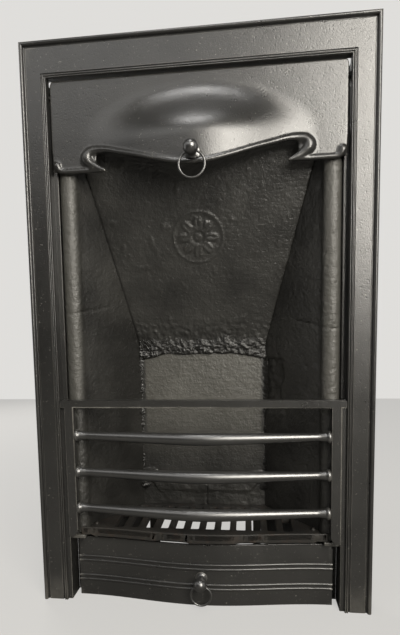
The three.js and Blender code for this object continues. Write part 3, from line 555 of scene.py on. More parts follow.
class Work:
    """A mesh on the bench, shaped by operators until it is handed over as a piece."""

    def __init__(self) -> None:
        """Starts an empty mesh."""
        self.bm = bmesh.new()

    def block(self, low: Vector, high: Vector) -> list[bmesh.types.BMVert]:
        """Box between two corners.

        Args:
            low: one corner.
            high: the opposite corner.

        Returns:
            Its vertices.
        """
        size = Vector([abs(h - l) for h, l in zip(high, low)])
        matrix = Matrix.Translation((low + high) / 2) @ Matrix.Diagonal((*size, 1))
        return bmesh.ops.create_cube(self.bm, size=1, matrix=matrix)["verts"]

    def rod(self, start: Vector, end: Vector, radius: float, sides: int = 32,
            far_radius: float | None = None) -> list[bmesh.types.BMVert]:
        """Round bar between two points.

        Args:
            start: middle of one end.
            end: middle of the other end.
            radius: its radius at the start.
            sides: facets round it.
            far_radius: its radius at the end, if another.

        Returns:
            Its vertices.
        """
        along = end - start
        turn = along.to_track_quat("Z", "Y").to_matrix().to_4x4()
        matrix = Matrix.Translation((start + end) / 2) @ turn
        return bmesh.ops.create_cone(
            self.bm, cap_ends=True, segments=sides, radius1=radius,
            radius2=radius if far_radius is None else far_radius, depth=along.length, matrix=matrix)["verts"]

    def wire(self, points: Sequence[Vector], closed: bool = True) -> list[bmesh.types.BMEdge]:
        """Line of edges through points.

        Args:
            points: the points in order.
            closed: whether the last joins the first.

        Returns:
            The edges.
        """
        verts = [self.bm.verts.new(p) for p in points]
        pairs = list(zip(verts, verts[1:]))
        if closed:
            pairs.append((verts[-1], verts[0]))
        return [self.bm.edges.new(pair) for pair in pairs]

    def sheet(self, columns: int, rows: int) -> list[bmesh.types.BMVert]:
        """Sheet one wide and one high, to be set to a shape."""
        return bmesh.ops.create_grid(self.bm, x_segments=columns, y_segments=rows, size=0.5)["verts"]

    def doubled(self) -> list[bmesh.types.BMVert]:
        """Lays a second sheet on all there is, joined to it round the border, and gives its vertices."""
        made = bmesh.ops.extrude_face_region(self.bm, geom=list(self.bm.faces), use_keep_orig=True)
        return verts_of(made["geom"])

    def drawn_out(self, outline: Sequence[Vector], travel: Vector,
                  holes: Sequence[Sequence[Vector]] = ()) -> list[bmesh.types.BMVert]:
        """Flat outline with holes, drawn out to a solid.

        Args:
            outline: points round it.
            travel: how far and which way it is drawn out.
            holes: outlines that stay open.

        Returns:
            The vertices of both ends.
        """
        edges = self.wire(outline)
        for hole in holes:
            edges += self.wire(hole)
        if holes:
            made = bmesh.ops.triangle_fill(self.bm, use_beauty=True, edges=edges)["geom"]
        else:
            made = bmesh.ops.contextual_create(self.bm, geom=edges)["faces"]
        faces = [g for g in made if isinstance(g, bmesh.types.BMFace)]
        start = list({v for f in faces for v in f.verts})
        moved = bmesh.ops.extrude_face_region(self.bm, geom=faces, use_keep_orig=True)["geom"]
        verts = verts_of(moved)
        bmesh.ops.translate(self.bm, verts=verts, vec=travel)
        return start + verts

    def bead(self, stations: Sequence[Station], sides: int = 20, capped: bool = True,
             facing: Vector = Vector((0, 1, 0))) -> None:
        """Round section run through stations, rounded off at both ends.

        Args:
            stations: places and radii along it.
            sides: facets round it.
            capped: whether the ends are domed.
            facing: direction that the sections keep square to, never along the line.
        """
        places = [s.place for s in stations]
        last = len(stations) - 1
        rings = []

        def ring(i: int, offset: float, share: float) -> None:
            """Adds the section at a station.

            Args:
                i: number of the station.
                offset: how far past it the section lies.
                share: share of the station's radius.
            """
            tangent = (places[min(i + 1, last)] - places[max(i - 1, 0)]).normalized()
            side = tangent.cross(facing).normalized()
            up = side.cross(tangent)
            matrix = Matrix((side, up, tangent)).transposed().to_4x4()
            matrix.translation = places[i] + tangent * offset
            made = bmesh.ops.create_circle(self.bm, segments=sides, radius=stations[i].radius * share,
                                           matrix=matrix)["verts"]
            rings.append(list({e for v in made for e in v.link_edges}))

        dome = [(math.sin(a), math.cos(a)) for a in (0.15, 0.6, 1.1)] if capped else []
        for share, reach in dome:
            ring(0, -reach * stations[0].radius, share)
        for i in range(last + 1):
            ring(i, 0, 1)
        for share, reach in reversed(dome):
            ring(last, reach * stations[last].radius, share)
        for near, far in zip(rings, rings[1:]):
            bmesh.ops.bridge_loops(self.bm, edges=near + far)
        bmesh.ops.holes_fill(self.bm, edges=rings[0] + rings[-1], sides=sides)

    def turned(self, profile: Sequence[tuple[float, float]], origin: Vector, axis: Vector,
               steps: int = 48) -> None:
        """Turned shape.

        Args:
            profile: radius and reach of each point, from the axis back to the axis.
            origin: point on the axis from which reach is measured.
            axis: direction of the axis.
            steps: facets round it.
        """
        out = axis.orthogonal().normalized()
        edges = self.wire([origin + axis * reach + out * radius for radius, reach in profile], closed=False)
        verts = list({v for e in edges for v in e.verts})
        bmesh.ops.spin(self.bm, geom=verts + edges, cent=origin, axis=axis, angle=2 * math.pi, steps=steps,
                       use_merge=True)
        bmesh.ops.remove_doubles(self.bm, verts=self.bm.verts, dist=1e-6)

    def hoop(self, centre: Vector, axis: Vector, radius: float, wire: float, steps: int = 96,
             sides: int = 20) -> None:
        """Ring of round wire.

        Args:
            centre: middle of the ring.
            axis: direction of its axis.
            radius: radius of the wire's middle line.
            wire: radius of the wire.
            steps: facets along the ring.
            sides: facets round the wire.
        """
        out = axis.orthogonal().normalized()
        across_wire = Matrix((out, axis, out.cross(axis))).transposed().to_4x4()
        across_wire.translation = centre + out * radius
        verts = bmesh.ops.create_circle(self.bm, segments=sides, radius=wire, matrix=across_wire)["verts"]
        edges = list({e for v in verts for e in v.link_edges})
        bmesh.ops.spin(self.bm, geom=verts + edges, cent=centre, axis=axis, angle=2 * math.pi, steps=steps,
                       use_merge=True)
        bmesh.ops.remove_doubles(self.bm, verts=self.bm.verts, dist=1e-6)

    def soften(self, width: float, segments: int = 3, angle: float = SHARP,
               chosen: Callable[[bmesh.types.BMEdge], bool] = lambda edge: True) -> None:
        """Rounds the sharp edges.

        Args:
            width: size of the rounding.
            segments: facets across it.
            angle: least angle between faces that counts as sharp.
            chosen: further test that an edge has to pass.
        """
        bmesh.ops.recalc_face_normals(self.bm, faces=self.bm.faces)
        sharp = [e for e in self.bm.edges
                 if len(e.link_faces) == 2 and e.calc_face_angle(0) > angle and chosen(e)]
        bmesh.ops.bevel(self.bm, geom=sharp, offset=width, offset_type="OFFSET", segments=segments,
                        profile=0.5, affect="EDGES", material=-1, clamp_overlap=True)

    def relieve(self, width: float, area: float = 1e-3) -> None:
        """Draws two lines inside the broad faces, so that rubbing and the painted edge highlight keep to
        their borders.

        Args:
            width: distance of the first line from the border, and of the second from the first.
            area: least area of a broad face.
        """
        for _ in range(2):
            broad = [f for f in self.bm.faces if f.calc_area() > area]
            bmesh.ops.inset_individual(self.bm, faces=broad, thickness=width, use_even_offset=True)

    def sculpt(self, push: Push,
               verts: Sequence[bmesh.types.BMVert] | None = None) -> None:
        """Moves points along their normals.

        Args:
            push: distance for a point and its normal.
            verts: the points to move, or all of them.
        """
        self.bm.normal_update()
        moves = [(v, v.normal * push(v.co, v.normal)) for v in verts or self.bm.verts]
        for vert, move in moves:
            vert.co += move

    def mesh_object(self, name: str) -> bpy.types.Object:
        """Turns the work into an object with faces that point outwards.

        Args:
            name: the object's name.

        Returns:
            The object.
        """
        bmesh.ops.recalc_face_normals(self.bm, faces=self.bm.faces)
        mesh = bpy.data.meshes.new(name)
        self.bm.to_mesh(mesh)
        self.bm.free()
        made = bpy.data.objects.new(name, mesh)
        bpy.context.scene.collection.objects.link(made)
        return made


def settle(made: bpy.types.Object) -> bpy.types.Object:
    """Makes the modifiers of an object part of its mesh.

    Args:
        made: the object.

    Returns:
        The same object.
    """
    bpy.context.view_layer.update()
    graph = bpy.context.evaluated_depsgraph_get()
    mesh = bpy.data.meshes.new_from_object(made.evaluated_get(graph))
    made.modifiers.clear()
    made.data = mesh
    return made


def joined(name: str, first: Work, others: Sequence[Work] = (),
           cuts: Sequence[Work] = ()) -> bpy.types.Object:
    """Joins pieces of work and cuts others away, as one casting.

    Args:
        name: name of the casting.
        first: the work that the others join.
        others: work to join.
        cuts: work to cut away.

    Returns:
        The casting.
    """
    base = first.mesh_object(name)
    tools = []
    for kind, works in (("UNION", others), ("DIFFERENCE", cuts)):
        for i, work in enumerate(works):
            tool = work.mesh_object(f"{name}_{kind.lower()}_{i}")
            change = base.modifiers.new(tool.name, "BOOLEAN")
            change.operation, change.solver, change.object = kind, "EXACT", tool
            tools.append(tool)
    settle(base)
    for tool in tools:
        bpy.data.objects.remove(tool)
    return base


@dataclass
class Maker:
    """Hands finished pieces over to the frame and keeps count of them."""

    palette: Palette
    faces: int = 0

    def hand_over(self, made: bpy.types.Object, body: Body, slot: str, replaces: Sequence[str] = (),
                  angle: float = SHARP) -> bpy.types.Object:
        """Gives a piece its finish, shading and place among the bodies.

        Args:
            made: the piece.
            body: the body that it rides on.
            slot: the record's material slot.
            replaces: CAD nodes that it stands for.
            angle: greatest angle between faces that is shaded smooth.

        Returns:
            The piece.
        """
        mesh = made.data
        mesh.materials.clear()
        mesh.materials.append(self.palette[slot])
        mesh.polygons.foreach_set("material_index", [0] * len(mesh.polygons))
        mesh.shade_smooth()
        mesh.set_sharp_from_angle(angle=angle)
        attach(made, body.value)
        if replaces:
            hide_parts(*replaces)
        triangles = sum(len(p.vertices) - 2 for p in mesh.polygons)
        self.faces += triangles
        log.info("%s rides on %s, %d triangles", made.name, body.value, triangles)
        return made

    def dress_node(self, node: str, slot: str) -> None:
        """Gives a CAD node that stays shown its finish.

        Args:
            node: the CAD node.
            slot: the record's material slot.
        """
        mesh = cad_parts[node].data
        mesh.materials.clear()
        mesh.materials.append(self.palette[slot])
        log.info("%s keeps its shape from the frame", node)


# Sub-assemblies


@dataclass
class FrontPlate:
    """Front plate: raised lip, flat band, beads round the opening, return flange and inner flanges."""

    plan: Plan
    lip: float = 7 * MM
    cove: float = 3.5 * MM
    groove: float = 3 * MM
    groove_depth: float = 1.6 * MM
    bead: float = 3 * MM
    bead_height: float = 2.4 * MM
    return_depth: float = 13 * MM
    flange: float = 5 * MM
    strip_height: float = 355 * MM
    strip_setback: float = 3 * MM
    upper_strip_setback: float = 17.9 * MM
    upper_strip_top: float = 866 * MM
    pin_web_rear: float = 24.5 * MM
    pin_web_top: float = 898 * MM
    pin_slot: tuple[float, float, float] = (11.2 * MM, 875.2 * MM, 884.8 * MM)
    screen_front: float = 21.6 * MM
    screen_inset: float = 4.3 * MM
    ledge_reach: float = 26 * MM
    ledge_depth: tuple[float, float] = (8 * MM, 20 * MM)
    ledge: tuple[float, float] = (113.2 * MM, 119.7 * MM)
    slot_clear: float = 0.1 * MM
    peg_setback: float = 7.4 * MM
    peg_hole_depth: float = 12.3 * MM
    peg_hole_radius: float = 2.5 * MM
    ear: float = 24 * MM
    ear_hole: float = 3.5 * MM

    def profile(self) -> list[tuple[bool, float, float]]:
        """Section of the band.

        Returns:
            For each point, whether it is measured from the outer edge, how far in, and its depth.
        """
        def arc(width: float, height: float, start: float, outer: bool,
                steps: int = 10) -> Iterator[tuple[bool, float, float]]:
            """Half round of the moulding.

            Args:
                width: its width.
                height: how far it stands out.
                start: where it starts, inwards from the edge.
                outer: whether it is measured from the outer edge.
                steps: facets across it.

            Yields:
                Points as the section has them.
            """
            for k in range(steps + 1):
                turn = math.pi * k / steps
                along = width / 2 * (1 - math.cos(turn))
                yield outer, start + along if outer else start - along, -height * math.sin(turn)

        mould = 2 * self.bead
        points = [(True, 0.0, self.plan.flange_depth)]
        points += arc(self.lip, self.plan.lip_height, 0, True)
        points += arc(self.cove, -self.groove_depth, self.lip, True, 6)
        points += [(True, self.lip + self.cove + 1.5 * MM, 0.0), (False, mould + self.groove + 1.5 * MM, 0.0)]
        points += arc(self.groove, -self.groove_depth, mould + self.groove, False, 6)
        points += arc(self.bead, self.bead_height, mould, False)
        points += arc(self.bead, self.bead_height, self.bead, False)
        points += [(False, 0.0, depth) for depth in (1.2 * MM, self.return_depth - 2.4 * MM,
                                                     self.return_depth - 1.2 * MM)]
        points += [(False, 0.0, self.return_depth), (False, mould, self.return_depth),
                   (False, mould, self.plan.plate), (True, self.flange, self.plan.plate),
                   (True, self.flange, self.plan.flange_depth)]
        return [p for i, p in enumerate(points) if i == 0 or p != points[i - 1]]

    def band(self) -> Work:
        """Band with its flange, drawn up one leg, across the top and down the other.

        Returns:
            The work.
        """
        plan, work = self.plan, Work()

        def inward(outer: bool, offset: float, band: float) -> float:
            """Distance from the plate's outer edge."""
            return offset if outer else band - offset

        def station(side: int, top: bool) -> list[Vector]:
            """Section at a corner of the band, or at a foot."""
            return [plan.at(side * (plan.half - inward(outer, offset, plan.side_band)), depth,
                            plan.height - inward(outer, offset, plan.top_band) if top else 0)
                    for outer, offset, depth in self.profile()]

        edges = work.wire(station(-1, False))
        verts = list(dict.fromkeys(v for e in edges for v in e.verts))
        ends = list(edges)
        for side, top in ((-1, True), (1, True), (1, False)):
            made = bmesh.ops.extrude_edge_only(work.bm, edges=edges)["geom"]
            edges = edges_of(made)
            moved = set(verts_of(made))
            verts = [next(e.other_vert(v) for e in v.link_edges if e.other_vert(v) in moved) for v in verts]
            for vert, place in zip(verts, station(side, top)):
                vert.co = place
        long_edges = [e for e in work.bm.edges if e.calc_length() > plan.half]
        bmesh.ops.subdivide_edges(work.bm, edges=long_edges, cuts=18)
        bmesh.ops.holes_fill(work.bm, edges=ends + edges, sides=0)
        floor_or_rear = lambda e: all(v.co.z < MM or v.co.y > plan.face + plan.flange_depth - MM
                                      for v in e.verts)
        work.soften(0.5 * MM, 2, chosen=floor_or_rear)
        return work

    def inner_flange(self, side: Side) -> tuple[list[Work], list[Work]]:
        """Strip beside the fire front with a rounded top, its run up behind the beads, and its holes.

        Args:
            side: which side of the opening.

        Returns:
            The works that join the band, and those that are cut away.
        """
        plan, s = self.plan, side.value
        inner, outer = plan.strip_inner, plan.opening_half + self.bead
        radius = plan.strip / 2
        cap = [(inner + radius - radius * math.cos(a), self.strip_height - radius + radius * math.sin(a))
               for a in (QUARTER * k / 6 for k in range(13))]
        outline = [(inner, 0.0), *cap, (outer, self.strip_height - radius), (outer, 0.0)]
        strip = Work()
        strip.drawn_out([plan.at(s * x, self.strip_setback, z) for x, z in outline],
                        Vector((0, plan.flange_depth - self.strip_setback, 0)))
        front = plan.face + self.strip_setback
        strip.soften(0.9 * MM, 3, chosen=lambda e: all(abs(v.co.y - front) < 1e-5 for v in e.verts))
        strip.relieve(0.9 * MM)
        upper, web = Work(), Work()
        low = self.strip_height - 2 * radius
        upper.block(plan.at(s * inner, self.upper_strip_setback, low),
                    plan.at(s * outer, plan.flange_depth, self.upper_strip_top))
        upper.soften(0.8 * MM)
        upper.relieve(0.9 * MM)
        web.block(plan.at(s * plan.opening_half, self.return_depth - MM, low),
                  plan.at(s * outer, self.upper_strip_setback + MM, self.upper_strip_top - MM))
        pin_web, pin_slot, screen = Work(), Work(), Work()
        pin_web.block(plan.at(s * plan.opening_half, self.return_depth - MM, self.upper_strip_top - MM),
                      plan.at(s * outer, self.pin_web_rear, self.pin_web_top))
        screen.block(plan.at(s * (inner + self.screen_inset), self.screen_front, self.upper_strip_top - MM),
                     plan.at(s * outer, self.screen_front + self.flange, self.pin_web_top))
        slot_front, slot_low, slot_high = self.pin_slot
        pin_slot.block(plan.at(s * (plan.opening_half - MM), slot_front, slot_low),
                       plan.at(s * (plan.opening_half + 2 * self.bead + MM),
                               self.screen_front - self.slot_clear, slot_high))
        peg_hole, peg_x = Work(), s * (inner + plan.opening_half) / 2
        peg_hole.rod(plan.at(peg_x, self.peg_setback, self.strip_height - self.peg_hole_depth),
                     plan.at(peg_x, self.peg_setback, self.strip_height + MM), self.peg_hole_radius)
        return [strip, upper, web, pin_web, screen], [pin_slot, peg_hole]

    def grate_ledge(self, maker: Maker, side: Side) -> None:
        """Makes the ledge on the inner flange that carries one end of the grate.

        Args:
            maker: who the piece is handed to.
            side: which end of the grate.
        """
        plan, s, ledge = self.plan, side.value, Work()
        ledge.block(plan.at(s * (plan.strip_inner - self.ledge_reach), self.ledge_depth[0], self.ledge[0]),
                    plan.at(s * (plan.strip_inner + plan.strip / 2), self.ledge_depth[1], self.ledge[1]))
        ledge.soften(1.2 * MM)
        maker.hand_over(ledge.mesh_object(f"grate_ledge_{side.hand}"), Body.ROOT, "black_leaded_iron")

    def wall_ear(self, side: Side) -> tuple[Work, Work]:
        """Ear in an upper corner behind the plate, and the drill for its hole.

        Args:
            side: which corner.

        Returns:
            The ear and the drill.
        """
        plan, s = self.plan, side.value
        ear, drill = Work(), Work()
        near, far = self.flange / 2, self.flange + self.ear
        ear.block(plan.at(s * (plan.half - near), plan.flange_depth - self.flange, plan.height - far),
                  plan.at(s * (plan.half - far), plan.flange_depth, plan.height - near))
        ear.soften(0.8 * MM)
        x, z = s * (plan.half - self.flange - self.ear / 2), plan.height - self.flange - self.ear / 2
        drill.rod(plan.at(x, plan.flange_depth - 2 * self.flange, z), plan.at(x, plan.flange_depth + MM, z),
                  self.ear_hole)
        return ear, drill

    def build(self, maker: Maker) -> None:
        """Makes the ledges and the plate."""
        for side in Side:
            self.grate_ledge(maker, side)
        parts, drills = [], []
        for side in Side:
            flange, slots = self.inner_flange(side)
            ear, drill = self.wall_ear(side)
            parts += [*flange, ear]
            drills += [*slots, drill]
        plate = joined("front_plate", self.band(), parts, drills)
        maker.hand_over(plate, Body.ROOT, "black_leaded_iron", ["front_frame"])


@dataclass
class Hood:
    """Tilting hood: flat plate that swells into a dome, with a whiplash bead along its lower edge."""

    plan: Plan
    top_gap: float = 2.1 * MM
    side_gap: float = 3.5 * MM
    setback: float = 6 * MM
    wall: float = 5 * MM
    drop: float = 154.4 * MM
    edge_lift: float = 8.5 * MM
    dome_forward: float = 44 * MM
    dome_half: float = 200 * MM
    dome_base: float = 41.5 * MM
    dome_rise: float = 100 * MM
    corner: float = 6 * MM
    rim_span: float = 163 * MM
    rim_rise: float = 39.5 * MM
    rim_radius: float = 4 * MM
    loop_edge: float = 4 * MM
    bead_proud: float = 1.3 * MM
    trunnion_drop: float = 22.9 * MM
    trunnion_radius: float = 4.5 * MM
    trunnion_reach: float = 261.5 * MM
    trunnion_depth: float = 16 * MM
    ear: tuple[float, float] = (13 * MM, 18 * MM)
    grain: float = 1.5 * MM
    rim_shares: tuple = ((0, 0, 1), (0.17, 0.06, 1), (0.37, 0.28, 1), (0.55, 0.53, 1), (0.74, 0.77, 1.07),
                         (0.89, 0.95, 1.2), (1, 1, 1.45))
    loop_shares: tuple = ((1.085, 0.925, 2.05), (1.117, 0.67, 2.45), (1.05, 0.38, 1.75), (0.93, 0.15, 0.7))
    edge_shares: tuple = ((0, -0.62, 0.7), (0.18, -0.25, 1), (0.43, 0, 1.07), (0.8, 0.12, 1.07),
                          (0.88, 1, 1.35), (0.917, 2.6, 1.65))

    @property
    def half(self) -> float:
        """Half the hood's width."""
        return self.plan.opening_half - self.side_gap

    @property
    def top(self) -> float:
        """Height of the hood's top edge."""
        return self.plan.opening_top - self.top_gap

    @property
    def rim(self) -> float:
        """Height of the rim's lowest point."""
        return self.top - self.drop

    def face(self, x: float, z: float) -> float:
        """Depth of the hood's face at a point of its front view."""
        above = max(z - self.rim - self.dome_base, 0) / self.dome_rise
        return self.setback - self.dome_forward * serpentine(math.hypot(x / self.dome_half, above))

    def lower_edge(self, x: float) -> float:
        """Height of the wall's lower edge, along the middle of the bead."""
        if abs(x) >= self.rim_span + self.loop_edge / 2:
            return self.rim + self.edge_lift
        share = min(abs(x) / self.rim_span, 1)
        after = next(i for i, s in enumerate(self.rim_shares) if i and s[0] >= share)
        (x0, z0, _), (x1, z1, _) = self.rim_shares[after - 1:after + 1]
        return self.rim + self.rim_rise * (z0 + (z1 - z0) * (share - x0) / (x1 - x0))

    def upper_edge(self, x: float) -> float:
        """Height of the wall's upper edge, rounded at the corners."""
        past = max(abs(x) - self.half + self.corner, 0)
        return self.top - self.corner + math.sqrt(max(self.corner ** 2 - past ** 2, 0))

    def shell(self) -> Work:
        """Wall of the hood: a sheet set to the dome's depth and given its thickness."""
        columns, rows, work = 300, 90, Work()
        for vert in work.sheet(columns, rows):
            x = 2 * vert.co.x * self.half
            low = self.lower_edge(x)
            z = low + (vert.co.y + 0.5) * (self.upper_edge(x) - low)
            vert.co = self.plan.at(x, self.face(x, z), z)
        bmesh.ops.translate(work.bm, verts=work.doubled(), vec=Vector((0, self.wall, 0)))
        return work

    def run(self, work: Work, points: Sequence[Vector]) -> None:
        """Runs a bead over the hood's face through points of place and radius in its front view."""
        stations = [Station(self.plan.at(x, self.face(x, z) + self.bead_proud, z), radius)
                    for x, z, radius in points]
        work.bead(stations, 24)

    def whiplash(self, work: Work) -> None:
        """Bead along the lower edge: rim and loops in one line, then the straight edge with its curl."""
        right = [(self.rim_span * a, self.rim + self.rim_rise * b, self.rim_radius * r)
                 for a, b, r in self.rim_shares + self.loop_shares]
        left = [(-x, z, r) for x, z, r in reversed(right[1:])]
        self.run(work, flowing(left + right, 8))
        tip = right[-1][0]
        edge = [(tip + (self.half - tip) * a, self.rim + self.edge_lift + self.rim_radius * b,
                 self.rim_radius * r) for a, b, r in self.edge_shares]
        for side in Side:
            self.run(work, flowing([(side.value * x, z, r) for x, z, r in edge], 8))

    def trunnions(self, work: Work) -> None:
        """Ears behind the upper corners with the pins on which the hood turns."""
        height = self.top - self.trunnion_drop
        ear_half, rear = self.ear[1] / 2, self.trunnion_depth + self.trunnion_radius + MM
        for side in Side:
            s = side.value
            work.block(self.plan.at(s * (self.half - MM), self.setback + self.wall - MM, height - ear_half),
                       self.plan.at(s * (self.half - MM - self.ear[0]), rear, height + ear_half))
            work.rod(self.plan.at(s * (self.half - self.ear[0] / 2), self.trunnion_depth, height),
                     self.plan.at(s * self.trunnion_reach, self.trunnion_depth, height), self.trunnion_radius)

    def build(self, maker: Maker) -> None:
        """Makes the hood as one casting whose bead flows into the wall."""
        work = self.shell()
        self.whiplash(work)
        self.trunnions(work)
        hood = work.mesh_object("domed_hood")
        melt = hood.modifiers.new("casting", "REMESH")
        melt.mode, melt.voxel_size = "VOXEL", self.grain
        settle(hood)
        cast = Work()
        cast.bm.from_mesh(hood.data)
        edge = 3.5 * MM
        inside = [v for v in cast.bm.verts if v.co.z < self.top - edge
                  and (abs(v.co.x) < self.half - edge or v.co.z < self.rim + self.rim_rise)]
        for _ in range(5):
            bmesh.ops.smooth_vert(cast.bm, verts=inside, factor=0.5, use_axis_x=True, use_axis_y=True,
                                  use_axis_z=True)
        bpy.data.objects.remove(hood)
        maker.hand_over(cast.mesh_object("domed_hood"), Body.HOOD, "black_leaded_iron", ["hood_canopy"],
                        math.radians(70))


@dataclass
class Knob:
    """Ball knob with an eye and a drop ring.

    Args:
        plan: shared places.
        name: start of the pieces' names.
        bodies: the bodies of the knob and of the ring.
        nodes: the CAD nodes of knob, nut and ring.
        face: depth of the casting's face behind the knob.
        height: height of its axis.
        wall: thickness of the casting.
        flange: radius of its foot.
        ring: radius of the ring's middle line.
        eye_drop: how far the eye sits under the knob's axis.
        saddle: radius and height of a bead that the foot sits astride, if there is one.
    """

    plan: Plan
    name: str
    bodies: tuple[Body, Body]
    nodes: tuple[str, str, str]
    face: float
    height: float
    wall: float
    flange: float
    ring: float
    eye_drop: float
    saddle: tuple[float, float] | None = None
    neck: float = 4.5 * MM
    ball: float = 11.6 * MM
    reach: float = 27 * MM
    eye_reach: float = 14 * MM
    eye: float = 7.5 * MM
    eye_width: float = 9 * MM
    eye_hole: float = 3.1 * MM
    wire: float = 1.9 * MM
    bead_proud: float = 1.3 * MM
    shank: float = 3 * MM
    nut: float = 6.2 * MM
    nut_thickness: float = 5 * MM

    def turned_body(self) -> Work:
        """Foot, waisted neck and ball."""
        start = math.asin(self.neck / self.ball)
        ball = [(self.ball * math.sin(a), self.reach - self.ball * math.cos(a))
                for a in (start + (math.pi - start) * k / 20 for k in range(20))]
        seat = self.plan.seat
        foot = [(0, seat), (self.flange - 0.6 * MM, seat), (self.flange, 0.9 * MM),
                (self.flange - 0.4 * MM, 1.9 * MM), (self.flange - 2.2 * MM, 2.6 * MM),
                (self.neck + 2.6 * MM, 3.1 * MM), (self.neck + 1.0 * MM, 4.2 * MM), (self.neck, 6.5 * MM),
                (self.neck, ball[0][1] - 2.2 * MM), (self.neck + 0.7 * MM, ball[0][1] - 0.6 * MM)]
        work = Work()
        work.turned([*foot, *ball[1:], (0, self.reach + self.ball)], self.plan.at(0, self.face, self.height),
                    Vector((0, -1, 0)))
        return work

    def build(self, maker: Maker) -> None:
        """Makes the knob, its nut and its ring."""
        plan = self.plan
        eye_at = plan.at(0, self.face - self.eye_reach, self.height - self.eye_drop)
        half = Vector((self.eye_width / 2, 0, 0))
        eye, shank, drill = Work(), Work(), Work()
        eye.rod(eye_at - half, eye_at + half, self.eye, 40)
        eye.soften(1.6 * MM, 4)
        drill.rod(eye_at - 3 * half, eye_at + 3 * half, self.eye_hole, 32)
        rear = self.face + self.wall + self.nut_thickness + 2 * plan.seat
        shank.rod(plan.at(0, self.face - MM, self.height), plan.at(0, rear + 2.5 * MM, self.height),
                  self.shank)
        shank.soften(0.5 * MM, 2)
        cuts = [drill]
        if self.saddle:
            radius, height = self.saddle
            groove, ends = Work(), Vector((2 * self.flange, 0, 0))
            middle = plan.at(0, self.face + self.bead_proud, height)
            groove.rod(middle - ends, middle + ends, radius)
            cuts.append(groove)
        knob = joined(f"{self.name}_knob_turned", self.turned_body(), [eye, shank], cuts)
        maker.hand_over(knob, self.bodies[0], "polished_black_iron", [self.nodes[0]])
        nut = Work()
        seat = self.face + self.wall + plan.seat
        nut.rod(plan.at(0, seat, self.height), plan.at(0, seat + self.nut_thickness, self.height),
                self.nut, 6)
        nut.soften(0.6 * MM, 2)
        bore = Work()
        bore.rod(plan.at(0, seat - MM, self.height), plan.at(0, rear, self.height), self.shank + plan.seat)
        maker.hand_over(joined(f"{self.name}_nut_hex", nut, (), [bore]), self.bodies[0], "screw_steel",
                        [self.nodes[1]])
        ring = Work()
        ring.hoop(eye_at - Vector((0, 0, self.ring)), Vector((0, 1, 0)), self.ring, self.wire)
        maker.hand_over(ring.mesh_object(f"{self.name}_ring_wire"), self.bodies[1], "polished_black_iron",
                        [self.nodes[2]])


